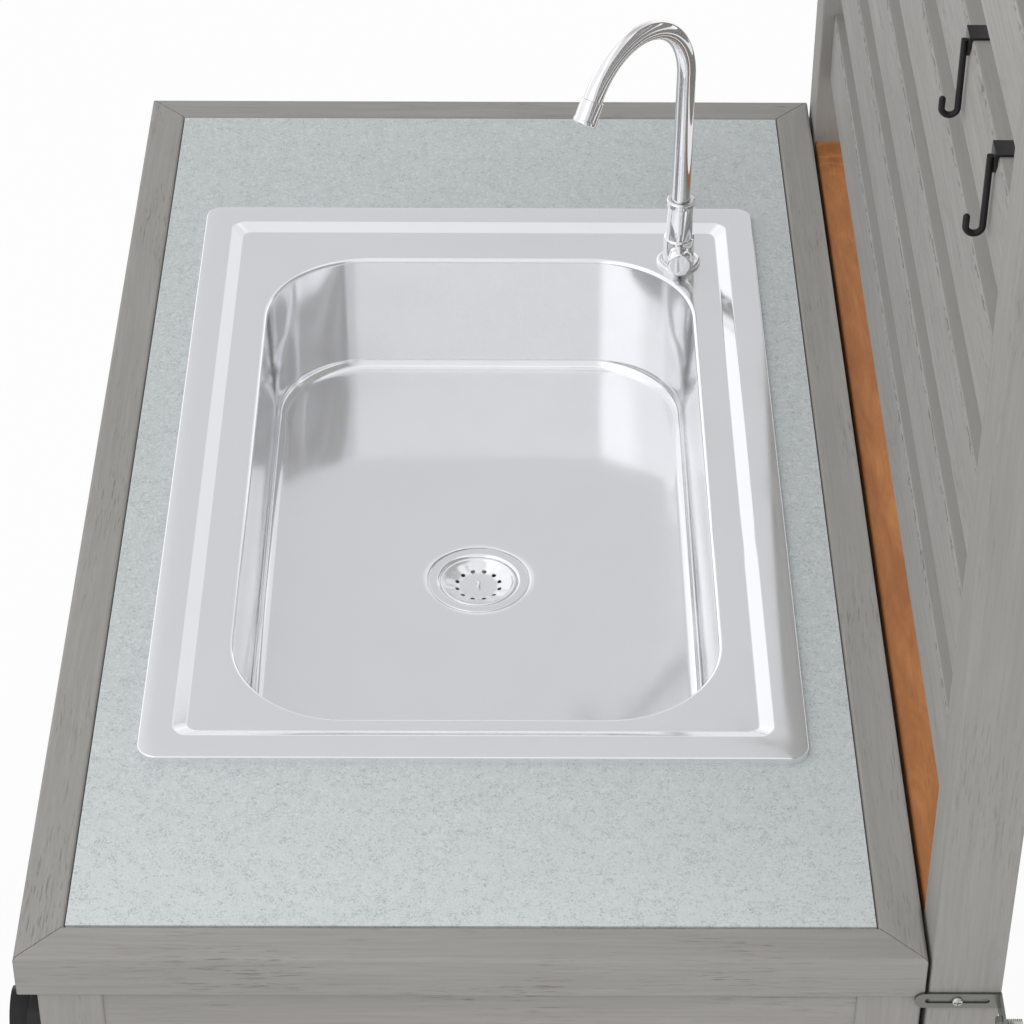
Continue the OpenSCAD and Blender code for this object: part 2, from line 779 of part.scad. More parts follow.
// Basket with a scalloped wall of flutes and a drain hole under each flute
module strainer_basket() {
    foot_r = basket_wall_r - 7;
    pitch_r = basket_wall_r - 5;
    hole_r = 1.8;
    color(steel) at_drain(0) difference() {
        rotate_extrude($fn = curve_fn) polygon([
            [0, basket_floor - basket_t], [foot_r, basket_floor - basket_t],
            [basket_wall_r, basket_top - 6], [basket_wall_r, basket_top - basket_t],
            [basket_r, basket_top - basket_t], [basket_r, basket_top],
            [basket_wall_r, basket_top], [basket_wall_r - 6.5, basket_floor + 2.5],
            [foot_r - 5, basket_floor], [0, basket_floor]]);
        for (k = [0:flute_n - 1]) rotate(k * 360 / flute_n) {
            translate([pitch_r - 4.5, 0, basket_floor + flute_r + 0.4])
                rotate([0, 32, 0]) cylinder(r = flute_r - 1, h = basket_h + 8, $fn = curve_fn);
            translate([foot_r - 3, 0, basket_floor - 5]) cylinder(r = hole_r, h = 8, $fn = 24);
        }
    }
}

module strainer_pin() {
    color(steel) at_drain(basket_floor) {
        cylinder(d = strainer_pin_d, h = strainer_pin_h - 1, $fn = 24);
        translate([0, 0, strainer_pin_h - 2]) intersection() {
            cylinder(d = strainer_pin_d + 1, h = 2.5, $fn = 24);
            sphere(r = 2.5, $fn = 24);
        }
    }
}

module at_tap(z) translate([tap_x, tap_y, z]) children();

module tap_flange() {
    r = tap_flange_d / 2;
    bore = shank_d / 2 + seat_fit;
    color(chrome) at_tap(deck_z) rotate_extrude($fn = curve_fn) polygon([
        [bore, 0], [r, 0], [r, 1], [r - 1.2, tap_flange_t - 1], [r - 4, tap_flange_t],
        [bore, tap_flange_t]]);
}

// Body: a waisted column with a bonnet on top and a barrel for the valve
module tap_body() {
    r = tap_body_d / 2;
    h = tap_body_h;
    base = tap_flange_t;
    joint = knob_axis + barrel_r + 3.5;
    color(chrome) at_tap(deck_z) difference() {
        union() {
            rotate_extrude($fn = curve_fn) polygon([
                [0, base], [r + 0.7, base], [r + 0.7, joint - 2], [r - 0.6, joint - 1],
                [r - 0.6, joint], [r - 1.2, joint + 1], [r - 1.2, h - bonnet_h - 1],
                [r - 0.4, h - bonnet_h], [r - 0.4, h - 1], [r - 1.4, h], [0, h]]);
            translate([0, 0, knob_axis]) rotate([0, 90, 0])
                cylinder(r = barrel_r, h = barrel_l, $fn = curve_fn);
        }
        translate([0, 0, h - stem_l])
            cylinder(r = stem_d / 2 + shaft_fit, h = stem_l + 1, $fn = curve_fn);
        translate([0, 0, knob_axis]) rotate([0, 90, 0])
            cylinder(r = cartridge_r + shaft_fit, h = barrel_l + 1, $fn = curve_fn);
        translate([0, 0, base - 1]) cylinder(r = waterway_r, h = h - base - 2, $fn = 24);
    }
}

// Valve cartridge in the barrel, bored for the spindle
module tap_cartridge() {
    color(brass) at_tap(deck_z + knob_axis) rotate([0, 90, 0])
        ring(cartridge_r, spindle_r + shaft_fit, barrel_l);
}

module tap_spindle() {
    color(brass) at_tap(deck_z + knob_axis) rotate([0, 90, 0])
        translate([0, 0, spindle_start])
            cylinder(r = spindle_r, h = barrel_l - spindle_start + spindle_in, $fn = curve_fn);
}

// Turning knob, plain and round with a domed face
module tap_knob() {
    r = knob_d / 2;
    dome_r = 1.6 * r;
    color(chrome) at_tap(deck_z + knob_axis) rotate([0, 90, 0])
        translate([0, 0, barrel_l + move_fit]) difference() {
            intersection() {
                cylinder(r = r, h = knob_l, $fn = curve_fn);
                translate([0, 0, knob_l - dome_r]) sphere(dome_r, $fn = curve_fn);
            }
            translate([0, 0, -1])
                cylinder(r = spindle_r, h = 1 + spindle_in - move_fit, $fn = curve_fn);
        }
}

// End of the gooseneck's tube, with Z back up the tube
module at_outlet() {
    translate([spout_r, 0, spout_rise]) rotate([0, spout_turn, 0])
        translate([-spout_r, 0, 0]) rotate([180, 0, 0]) children();
}

module aim_spout() at_tap(deck_z) rotate(-spout_aim) children();

// Spout: a stem that turns in the tap's body, a riser, the gooseneck's arch and a short
// tail. The bent tube's ends are turned down a little and sit inside the straight tubes.
module spout() {
    r = spout_d / 2;
    bore = r - spout_wall;
    stem_bore = stem_d / 2 - stem_wall;
    foot = spout_foot - deck_z;
    turned = 0.1;
    sleeve = 1;
    color(chrome) aim_spout() {
        difference() {
            union() {
                translate([0, 0, foot - stem_l + 2])
                    cylinder(d = stem_d, h = stem_l, $fn = curve_fn);
                translate([0, 0, foot])
                    cylinder(r = r, h = spout_rise - foot + sleeve, $fn = curve_fn);
            }
            translate([0, 0, foot - stem_l + 1])
                cylinder(r = stem_bore, h = stem_l + 2, $fn = curve_fn);
            translate([0, 0, foot + 2])
                cylinder(r = bore, h = spout_rise - foot + sleeve, $fn = curve_fn);
        }
        translate([spout_r, 0, spout_rise]) rotate([90, 0, 0])
            rotate([0, 0, 180 - spout_turn])
                rotate_extrude(angle = spout_turn, $fn = 96) translate([spout_r, 0])
                    difference() {
                        circle(r - turned, $fn = curve_fn);
                        circle(bore + turned, $fn = curve_fn);
                    }
        at_outlet() translate([0, 0, -spout_tail]) ring(r, bore, spout_tail + sleeve);
    }
}

module aerator() {
    r = aerator_d / 2;
    bore = spout_d / 2 + seat_fit / 2;
    grip = aerator_grip;
    color(chrome) aim_spout() at_outlet() translate([0, 0, grip - spout_tail])
        rotate([180, 0, 0]) rotate_extrude($fn = curve_fn) polygon([
            [bore, 0], [r - 1, 0], [r, 1], [r, aerator_l - 0.8], [r - 0.8, aerator_l],
            [r - 2.2, aerator_l], [r - 2.2, aerator_l - 2], [0, aerator_l - 2.5],
            [0, aerator_l - 4], [bore - 2, aerator_l - 4],
            [bore - 2, grip + seat_fit], [bore, grip + seat_fit]]);
}

// Threaded shank under the deck, with a groove below its nut
module tap_shank() {
    r = shank_d / 2;
    top = tap_flange_t;
    groove = -sheet_t - washer_t - backnut_t - 2;
    foot = -shank_l;
    color(brass) at_tap(deck_z) rotate_extrude($fn = curve_fn) polygon([
        [waterway_r, top], [r, top], [r, groove], [thread_core_r, groove],
        [thread_core_r, groove - 2], [r, groove - 2], [r, foot], [waterway_r, foot]]);
}

module tap_washer() {
    color(rubber) at_tap(deck_z - sheet_t - washer_t)
        ring(17, shank_d / 2 + seat_fit, washer_t);
}

module tap_backnut() {
    color(brass) at_tap(deck_z - sheet_t - washer_t - backnut_t) difference() {
        cylinder(r = 16, h = backnut_t, $fn = 6);
        translate([0, 0, -1])
            cylinder(r = shank_d / 2 + seat_fit / 2, h = backnut_t + 2, $fn = curve_fn);
    }
}

// One post: x is 1 for the near end
module panel_post(x) {
    color(wood) difference() {
        translate([x * post_x, post_y, 0]) upright(post_w, post_d, glide_h, post_top);
        for (k = [1:slat_n]) at_slat(k) tenons(panel_l, slat_h, tenon_fit);
        translate([0, cedar_y, cedar_z]) tenons(panel_l, cedar_h, tenon_fit);
        translate([0, slat_y, foot_rail_mid]) tenons(panel_l, cedar_h, tenon_fit);
        at_tie_bolts([x]) translate([0, 0, leg_w])
            cylinder(r = tie_hole_r, h = post_d + tie_gap + 1, $fn = curve_fn);
        at_bracket_screws() translate([0, 0, -bracket_screw_l])
            cylinder(r = bracket_screw_r + seat_fit / 2, h = bracket_screw_l + 1,
                $fn = curve_fn);
    }
}

module slat(k) color(wood) at_slat(k) rail(panel_l, slat_t, slat_h);

module cedar_rail()
    color(cedar) translate([0, cedar_y, cedar_z]) rail(panel_l, cedar_t, cedar_h);

module foot_rail()
    color(wood) translate([0, slat_y, foot_rail_mid]) rail(panel_l, slat_t, cedar_h);

// Carriage bolts through each post into the panel-side leg, with their nuts
module tie_bolts() {
    r = tie_bolt_d / 2;
    head_r = tie_bolt_d * 1.1;
    through = leg_w + tie_gap + post_d;
    dome_r = (head_r * head_r + tie_head_t * tie_head_t) / (2 * tie_head_t);
    color(zinc) at_tie_bolts() {
        translate([0, 0, -tie_nut_t - tie_end])
            cylinder(r = r, h = through + tie_nut_t + tie_end, $fn = curve_fn);
        translate([0, 0, -tie_nut_t]) cylinder(r = tie_bolt_d * 0.9, h = tie_nut_t, $fn = 6);
        translate([0, 0, through]) intersection() {
            cylinder(r = head_r, h = tie_head_t, $fn = curve_fn);
            translate([0, 0, tie_head_t - dome_r]) sphere(dome_r, $fn = curve_fn);
        }
    }
}

// Washers that keep the posts clear of the legs
module tie_spacers() {
    color(zinc) at_tie_bolts() translate([0, 0, leg_w])
        ring(tie_bolt_d * 1.4, tie_hole_r, tie_gap);
}

// One hook at distance x from the table's near end, hung over a slat
module hook(x) {
    front = hook_slat_front - move_fit - strap_t;
    top = hook_slat_top + move_fit;
    over = slat_t + 2 * move_fit + 2 * strap_t;
    back_drop = 15;
    shoulder = 8;
    foot_w = rod_d + 1.5;
    weld = 0.4;
    rod_y = front - rod_d / 2 + weld;
    rod_top = top - 4;
    bend_z = rod_top - rod_l + hook_bend_r + rod_d / 2;
    color(black) translate([half_l - x, 0, 0]) {
        translate([-strap_w / 2, front, top]) cube([strap_w, over, strap_t]);
        translate([-strap_w / 2, front + over - strap_t, top - back_drop])
            cube([strap_w, strap_t, back_drop + strap_t]);
        translate([0, front + strap_t, top + strap_t]) rotate([90, 0, 0])
            linear_extrude(strap_t) polygon([
                [-strap_w / 2, 0], [-strap_w / 2, -shoulder], [-foot_w / 2, -strap_drop],
                [foot_w / 2, -strap_drop], [strap_w / 2, -shoulder], [strap_w / 2, 0]]);
        translate([0, rod_y, bend_z]) cylinder(d = rod_d, h = rod_top - bend_z, $fn = 24);
        translate([0, rod_y - hook_bend_r, bend_z]) rotate([0, 90, 0]) rotate([0, 0, -90])
            rotate_extrude(angle = 180, $fn = curve_fn) translate([hook_bend_r, 0])
                circle(d = rod_d, $fn = 24);
        translate([0, rod_y - 2 * hook_bend_r, bend_z]) {
            cylinder(d = rod_d, h = hook_tip, $fn = 24);
            translate([0, 0, hook_tip]) sphere(d = rod_d, $fn = 24);
        }
    }
}

// Places of the bracket screws, with Z pointing out of the post's end face
module at_bracket_screws() {
    for (x = [-1, 1]) translate([x * half_l, bracket_screw_y, bracket_z])
        rotate([0, x * 90, 0]) children();
}

// Bracket for the wall: a slotted leg on the post's end face, and a leg in the wall's plane
// with a bolt. The brackets and bolts are mirrored at the two ends.
module wall_brackets() {
    r = bracket_h / 2;
    bolt_r = stud_d / 2;
    neck_r = bolt_r + 0.1;
    inner = post_back_y - bracket_l;
    slot_mid = slot_near + slot_l / 2;
    color(zinc) for (x = [0, 1]) mirror([x, 0, 0]) {
        translate([half_l, inner, bracket_z]) rotate([90, 0, 90]) linear_extrude(bracket_t)
            difference() {
                union() {
                    translate([r, 0]) circle(r, $fn = curve_fn);
                    translate([r, -r]) square([bracket_l - r, bracket_h]);
                }
                translate([slot_mid, 0]) {
                    square([slot_l - slot_w, slot_w], center = true);
                    for (s = [-1, 1]) translate([s * (slot_l - slot_w) / 2, 0])
                        circle(d = slot_w, $fn = 24);
                }
            }
        translate([half_l, post_back_y, bracket_z]) rotate([90, 0, 0])
            linear_extrude(bracket_t) difference() {
                union() {
                    translate([0, -r]) square([bracket_reach, bracket_h]);
                    translate([bracket_reach, 0]) circle(r, $fn = curve_fn);
                }
                translate([bracket_reach, 0]) circle(neck_r, $fn = curve_fn);
            }
        translate([wall_bolt_x, post_back_y, bracket_z]) rotate([-90, 0, 0]) {
            cylinder(r = bolt_r, h = stud_out, $fn = curve_fn);
            translate([0, 0, -bracket_t]) cylinder(r = neck_r, h = bracket_t, $fn = curve_fn);
            translate([0, 0, -bracket_t - bracket_bolt_head])
                cylinder(r = stud_d * 0.9, h = bracket_bolt_head, $fn = 6);
        }
    }
}

module bracket_screws() {
    color(zinc) at_bracket_screws() translate([0, 0, bracket_t])
        screw(bracket_screw_r, bracket_screw_l, bracket_head_r, bracket_head_h);
}

// Cast bottle opener: a domed plate with a hood that catches a cap's rim
module bottle_opener() {
    w = opener_w;
    h = opener_h;
    t = opener_t;
    mouth_r = opener_mouth_r;
    hood_foot = 12;
    lip_t = 3;
    tooth_w = 9;
    color(black) translate([opener_x, opener_y, opener_top]) difference() {
        union() {
            intersection() {
                rotate([90, 0, 0]) linear_extrude(t + 1) {
                    translate([0, -w / 2]) circle(w / 2, $fn = 96);
                    translate([-w / 2, w / 2 - h]) square([w, h - w]);
                    translate([0, w / 2 - h]) circle(w / 2, $fn = 96);
                }
                translate([0, opener_dome_r - t, -h / 2]) rotate([0, 90, 0])
                    cylinder(r = opener_dome_r, h = w + 2, center = true, $fn = 360);
            }
            translate([0, 0, opener_hood_z]) rotate([90, 0, 0]) linear_extrude(opener_d) {
                circle(opener_hood_r, $fn = 96);
                translate([-opener_hood_r, -hood_foot])
                    square([2 * opener_hood_r, hood_foot]);
            }
        }
        // The mouth behind the lip, and the way in from below
        translate([0, 0, opener_hood_z]) rotate([90, 0, 0])
            translate([0, 0, t - 0.5]) linear_extrude(opener_d - t - lip_t + 0.5) {
                circle(mouth_r, $fn = 96);
                translate([-mouth_r, -hood_foot - 1]) square([2 * mouth_r, hood_foot + 1]);
            }
        translate([0, 0, opener_hood_z]) rotate([90, 0, 0])
            translate([0, 0, opener_d - lip_t - 1]) linear_extrude(lip_t + 2) {
                circle(mouth_r - 4, $fn = 96);
                translate([-mouth_r, -hood_foot - 8]) square([2 * mouth_r, hood_foot + 8]);
            }
        for (z = [-opener_screw_in, opener_screw_in - h]) translate([0, 0, z])
            rotate([90, 0, 0]) {
                translate([0, 0, -1])
                    cylinder(r = opener_screw_r + seat_fit, h = opener_d, $fn = 24);
                translate([0, 0, opener_seat])
                    cylinder(r = opener_head_r + seat_fit, h = opener_d, $fn = curve_fn);
            }
    }
    // The tooth that grips under a cap's rim
    color(black) translate([opener_x - tooth_w / 2, opener_y - t - lip_t,
        opener_top + opener_hood_z - hood_foot - 4]) cube([tooth_w, lip_t + 1, 3]);
}

module opener_screws() {
    color(zinc) at_opener_screws() translate([0, 0, opener_seat])
        screw(opener_screw_r, opener_screw_l + opener_seat - 2, opener_head_r, opener_head_h);
}

leg(1, -1);  // leg_front_near
leg(-1, -1);  // leg_front_far
leg(1, 1);  // leg_back_near
leg(-1, 1);  // leg_back_far
floor_glides();
apron_front();
apron_back();
apron_near();
apron_far();
edging_front();
edging_back();
edging_near();
edging_far();
countertop();
counter_battens();
shelf_rail_front();
shelf_rail_back();
shelf_rail_near();
shelf_rail_far();
shelf_boards();
sink_bowl();
sink_seal();
sink_clips();
clip_screws();
drain_cup();
drain_gasket();
drain_locknut();
tailpiece();
tailpiece_nut();
strainer_basket();
strainer_pin();
tap_flange();
tap_body();
tap_cartridge();
tap_spindle();
tap_knob();
spout();
aerator();
tap_shank();
tap_washer();
tap_backnut();
panel_post(1);  // panel_post_near
panel_post(-1);  // panel_post_far
slat(1);  // slat_1
slat(2);  // slat_2
slat(3);  // slat_3
slat(4);  // slat_4
slat(5);  // slat_5
slat(6);  // slat_6
slat(7);  // slat_7
cedar_rail();
foot_rail();
tie_bolts();
tie_spacers();
hook(hook_start);  // hook_near
hook(hook_start + hook_pitch);  // hook_far
wall_brackets();
bracket_screws();
bottle_opener();
opener_screws();
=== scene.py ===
"""Looks of the outdoor sink table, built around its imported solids.

Run as a script. Sizes in the property groups are in metres, places come from the solids.
"""
import math
from contextlib import contextmanager

import bmesh
import bpy
from mathutils import Matrix, Vector


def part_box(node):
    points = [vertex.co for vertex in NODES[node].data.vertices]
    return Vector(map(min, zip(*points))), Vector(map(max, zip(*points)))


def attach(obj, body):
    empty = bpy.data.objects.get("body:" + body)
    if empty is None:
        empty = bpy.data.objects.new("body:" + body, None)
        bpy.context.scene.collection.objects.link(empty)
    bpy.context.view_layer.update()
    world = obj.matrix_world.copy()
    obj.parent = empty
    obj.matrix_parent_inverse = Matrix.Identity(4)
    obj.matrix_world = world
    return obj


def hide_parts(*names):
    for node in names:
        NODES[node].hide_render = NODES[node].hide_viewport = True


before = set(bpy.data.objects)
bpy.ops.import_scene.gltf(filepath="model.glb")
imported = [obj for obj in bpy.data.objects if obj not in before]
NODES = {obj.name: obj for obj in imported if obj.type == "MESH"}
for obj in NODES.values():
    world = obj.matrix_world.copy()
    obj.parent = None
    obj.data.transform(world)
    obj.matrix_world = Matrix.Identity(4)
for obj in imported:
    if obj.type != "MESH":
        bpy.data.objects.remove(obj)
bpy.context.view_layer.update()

bl_info = {
    "name": "Outdoor Sink Table",
    "version": (1, 0, 0),
    "blender": (4, 5, 0),
    "location": "View3D > Sidebar > Sink Table",
    "description": "Finishes and detailed pieces for a wooden outdoor sink table",
    "category": "Object",
}

MM = 0.001
PER_METRE = 1000  # millimetres in a metre
MERGE = 0.000002  # points closer than this are one

# Faces that meet at less than these angles are shaded as one
SMOOTH = math.radians(32)
SMOOTH_PRESSED = math.radians(40)
SMOOTH_SMALL = math.radians(50)
SMOOTH_THREAD = math.radians(20)

SLAT_COUNT = 7


# ---------------------------------------------------------------- sizes and colours

def colour(name, description, default):
    return bpy.props.FloatVectorProperty(name=name, description=description, default=default,
                                         subtype="COLOR", size=3, min=0, max=1)


def length(name, description, default):
    return bpy.props.FloatProperty(name=name, description=description, default=default,
                                   min=0, unit="LENGTH", precision=4)


class SINKTABLE_PG_colours(bpy.types.PropertyGroup):
    wood: colour("Wood", "Grey wash on the boards", (0.343, 0.333, 0.313))
    # Lighter copy of the grey wash: painted light on the faces of the panel's slats
    slat_wood_lit: colour("Slat wood", "Face of the panel's slats", (0.38, 0.372, 0.354))
    wood_grain: colour("Wood grain", "Darker streaks of the grain", (0.262, 0.253, 0.236))
    wood_pore: colour("Wood pores", "Dark short pores", (0.13, 0.122, 0.11))
    cedar: colour("Cedar", "Oiled cedar rail", (0.42, 0.158, 0.05))
    cedar_light: colour("Cedar, light", "Lighter bands of the cedar", (0.62, 0.275, 0.09))
    cedar_dark: colour("Cedar, dark", "Darker bands and pores of the cedar", (0.20, 0.064, 0.02))
    stone: colour("Countertop", "Pale ground of the countertop", (0.542, 0.577, 0.583))
    stone_fleck: colour("Fleck", "Dark flecks of the countertop", (0.24, 0.28, 0.28))
    # Also the tone of the painted light at the countertop's near end
    stone_pale: colour("Pale fleck", "Pale flecks of the countertop", (0.68, 0.72, 0.72))
    steel: colour("Steel", "Sink and drain", (0.88, 0.885, 0.90))
    chrome: colour("Chrome", "Tap and waste pipe", (0.78, 0.78, 0.785))
    iron: colour("Iron", "Hooks and opener", (0.012, 0.012, 0.013))
    zinc: colour("Zinc", "Brackets, bolts and clips", (0.205, 0.208, 0.194))
    brass: colour("Brass", "Shank, nut and cartridge", (0.55, 0.38, 0.16))
    rubber: colour("Rubber", "Glides, seals and washers", (0.02, 0.02, 0.022))


class SINKTABLE_PG_sink(bpy.types.PropertyGroup):
    corner: length("Rim corner", "Corner radius of the rim", 0.0145)
    lip: length("Lip", "Height of the rim over the countertop", 0.006)
    lip_roll: length("Lip roll", "Radius on the rim's outer edge", 0.001)
    band: length("Band", "Width of the raised band", 0.024)
    step: length("Step", "Width of the sloping step", 0.009)
    drop: length("Drop", "Drop from the rim to the deck", 0.005)
    step_corner: length("Step corner", "Corner radius of the step", 0.010)
    basin_l: length("Basin length", "Length of the basin's opening", 0.597)
    basin_d: length("Basin depth", "Front to back size of the opening", 0.360)
    basin_corner: length("Basin corner", "Corner radius of the opening", 0.085)
    basin_near: length("Near land", "From the rim's near end to the opening", 0.048)
    basin_front: length("Front land", "From the rim's user side to the opening", 0.0615)
    basin_h: length("Basin height", "Depth below the deck", 0.110)
    draft: length("Draft", "Inset of the walls' foot from the opening", 0.004)
    roll: length("Roll", "Radius from the deck into the basin", 0.0035)
    fillet: length("Fillet", "Radius between walls and floor", 0.0105)
    fall: length("Fall", "Fall of the floor to the drain", 0.004)
    sheet: length("Sheet", "Thickness of the steel", 0.001)
    segments: bpy.props.IntProperty(name="Segments", description="Segments of a corner",
                                    default=18, min=4, max=40)


class SINKTABLE_PG_tap(bpy.types.PropertyGroup):
    tube_r: length("Tube radius", "Outer radius of the spout", 0.008)
    wall: length("Tube wall", "Wall of the spout", 0.0012)
    arch_r: length("Arch radius", "Radius of the gooseneck", 0.0636)
    rise: length("Rise", "Height of the arch's centre over the deck", 0.1865)
    tail: length("Tail", "Straight tube past the arch", 0.007)
    turn: bpy.props.FloatProperty(name="Turn", description="Angle of the arch",
                                  default=math.radians(150), subtype="ANGLE")
    aim: bpy.props.FloatProperty(name="Aim", description="Direction of the spout, from the "
                                 "near end towards the user", default=math.radians(41.7),
                                 subtype="ANGLE")


class SINKTABLE_PG_view(bpy.types.PropertyGroup):
    place: bpy.props.FloatVectorProperty(name="Camera place", description="Where the camera "
                                         "stands", default=(2.0603, -0.0097, 2.4700),
                                         subtype="TRANSLATION", size=3)
    pitch: bpy.props.FloatProperty(name="Pitch", description="Degrees that the camera looks "
                                   "down", default=38.56)
    yaw: bpy.props.FloatProperty(name="Yaw", description="Degrees of turn from the table's "
                                 "length", default=-0.32)
    roll: bpy.props.FloatProperty(name="Roll", description="Degrees of roll", default=0.355)
    lens: bpy.props.FloatProperty(name="Lens", description="Focal length on a 36 mm sensor",
                                  default=113.55, unit="CAMERA")
    shift: bpy.props.FloatProperty(name="Shift", description="Upward shift of the view, as a "
                                   "share of its width", default=0.03)


# ---------------------------------------------------------------- modelling tools

def deselect():
    bpy.ops.object.select_all(action="DESELECT")


def take(obj):
    """Selects only this object and makes it the active one."""
    deselect()
    obj.select_set(True)
    bpy.context.view_layer.objects.active = obj


def start(name, add, **where):
    """A new object from one of the mesh primitives."""
    deselect()
    add(**where)
    obj = bpy.context.object
    obj.name = obj.data.name = name
    return obj


@contextmanager
def editing(obj):
    take(obj)
    bpy.ops.object.mode_set(mode="EDIT")
    bpy.ops.mesh.select_mode(type="VERT")
    bpy.ops.mesh.select_all(action="SELECT")
    yield
    bpy.ops.object.mode_set(mode="OBJECT")


def pick(obj, test):
    """Selects the vertices of the edited mesh for which test is true."""
    bpy.ops.mesh.select_mode(type="VERT")
    bpy.ops.mesh.select_all(action="DESELECT")
    mesh = bmesh.from_edit_mesh(obj.data)
    for vert in mesh.verts:
        if test(vert):
            vert.select_set(True)
    mesh.select_flush_mode()
    bmesh.update_edit_mesh(obj.data)


def modify(obj, kind, **settings):
    """Adds a modifier and applies it."""
    take(obj)
    modifier = obj.modifiers.new(kind.title(), kind)
    for key, value in settings.items():
        setattr(modifier, key, value)
    bpy.ops.object.modifier_apply(modifier=modifier.name)


def settle(obj, smooth=SMOOTH):
    """Puts the object's place into its mesh and shades it smooth."""
    take(obj)
    bpy.ops.object.transform_apply(location=True, rotation=True, scale=True)
    bpy.ops.object.shade_smooth_by_angle(angle=smooth)


def outward(obj, inside=False):
    with editing(obj):
        bpy.ops.mesh.remove_doubles(threshold=MERGE)
        bpy.ops.mesh.normals_make_consistent(inside=inside)


def finish(obj, body, material, slot, *nodes):
    """Gives a finished piece its material and its body, and hides the nodes it stands for. The
    slot is not used.
    """
    obj.data.materials.clear()
    obj.data.materials.append(material)
    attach(obj, body)
    if nodes:
        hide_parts(*nodes)


def turned(name, profile, place, axis="Z", steps=64):
    """A turned piece. The profile is a list of radius and height in millimetres."""
    obj = start(name, bpy.ops.mesh.primitive_plane_add, size=MM)
    with editing(obj):
        bpy.ops.mesh.merge(type="CENTER")
        r, z = profile[0]
        bpy.ops.transform.translate(value=(r * MM, 0, z * MM))
        for r1, z1 in profile[1:]:
            bpy.ops.mesh.extrude_region_move(
                TRANSFORM_OT_translate={"value": ((r1 - r) * MM, 0, (z1 - z) * MM)})
            r, z = r1, z1
        bpy.ops.mesh.select_all(action="SELECT")
        bpy.ops.mesh.spin(steps=steps, angle=2 * math.pi, center=(0, 0, 0), axis=(0, 0, 1))
    outward(obj)
    obj.location = place
    if axis == "X":
        obj.rotation_euler = (0, math.pi / 2, 0)
    if axis == "Y":
        obj.rotation_euler = (-math.pi / 2, 0, 0)
    return obj


def arc(cx, cz, r, a0, a1, steps):
    """Points of an arc in a profile, in degrees from the radius towards the height."""
    return [(cx + r * math.cos(math.radians(a0 + (a1 - a0) * k / steps)),
             cz + r * math.sin(math.radians(a0 + (a1 - a0) * k / steps)))
            for k in range(steps + 1)]


def loft(name, rings, segments):
    """A sheet through rings: (middle x, y, half length, half depth, corner radius, height)."""
    obj = start(name, bpy.ops.mesh.primitive_plane_add, size=MM)
    with editing(obj):
        bpy.ops.mesh.delete(type="VERT")
        mesh = bmesh.from_edit_mesh(obj.data)
        ring_id = mesh.verts.layers.int.new("ring")
        bmesh.update_edit_mesh(obj.data)
        for number, (x, y, hx, hy, r, z) in enumerate(rings, 1):
            bpy.ops.mesh.select_all(action="DESELECT")
            if r >= min(hx, hy):
                bpy.ops.mesh.primitive_circle_add(vertices=4 * (segments + 1), radius=r,
                                                  location=(x, y, z))
            else:
                bpy.ops.mesh.primitive_plane_add(size=2, location=(x, y, z))
                bpy.ops.transform.resize(value=(hx, hy, 1), center_override=(x, y, z))
                bpy.ops.mesh.bevel(offset=r, affect="VERTICES", segments=segments)
                bpy.ops.mesh.delete(type="ONLY_FACE")
            mesh = bmesh.from_edit_mesh(obj.data)
            ring_id = mesh.verts.layers.int["ring"]
            for vert in mesh.verts:
                if vert[ring_id] == 0:
                    vert[ring_id] = number
            bmesh.update_edit_mesh(obj.data)
        for number in range(1, len(rings)):
            bpy.ops.mesh.select_mode(type="EDGE")
            bpy.ops.mesh.select_all(action="DESELECT")
            mesh = bmesh.from_edit_mesh(obj.data)
            ring_id = mesh.verts.layers.int["ring"]
            for edge in mesh.edges:
                ids = {vert[ring_id] for vert in edge.verts}
                if ids == {number} or ids == {number + 1}:
                    edge.select_set(True)
            bmesh.update_edit_mesh(obj.data)
            bpy.ops.mesh.bridge_edge_loops()
    return obj


# ---------------------------------------------------------------- materials

class Tree:
    """A short way to write a node tree: each call adds a node and links its inputs."""

    def __init__(self, tree):
        self.tree = tree
        self.column = 0

    def add(self, kind, inputs=(), **settings):
        node = self.tree.nodes.new(kind)
        node.location = (self.column, 0)
        self.column += 180
        for key, value in settings.items():
            setattr(node, key, value)
        self.plug(node.inputs, dict(inputs))
        return node

    def plug(self, sockets, values):
        """Links each value that is an output, and sets each one that is a constant."""
        for key, value in values.items():
            if isinstance(value, bpy.types.NodeSocket):
                self.tree.links.new(value, sockets[key])
            else:
                sockets[key].default_value = value

    def maths(self, operation, a, b=0.5, clamp=False):
        return self.add("ShaderNodeMath", {0: a, 1: b}, operation=operation,
                        use_clamp=clamp).outputs[0]

    def stretch(self, vector, scale):
        return self.add("ShaderNodeVectorMath", {0: vector, 1: scale},
                        operation="MULTIPLY").outputs[0]

    def noise(self, vector, scale, detail=2.0, roughness=0.5, distortion=0.0):
        return self.add("ShaderNodeTexNoise", {
            "Vector": vector, "Scale": scale, "Detail": detail, "Roughness": roughness,
            "Distortion": distortion}).outputs["Fac"]

    def span(self, value, low, high, to_low=0.0, to_high=1.0):
        """Maps low..high to to_low..to_high and clamps it."""
        return self.add("ShaderNodeMapRange", {
            "Value": value, "From Min": low, "From Max": high, "To Min": to_low,
            "To Max": to_high}).outputs[0]

    def mix(self, factor, a, b, blend="MIX"):
        """Mixes two colours. The node's inputs 6 and 7 and its output 2 are the colours'."""
        return self.add("ShaderNodeMix", {0: factor, 6: a, 7: b}, data_type="RGBA",
                        blend_type=blend).outputs[2]


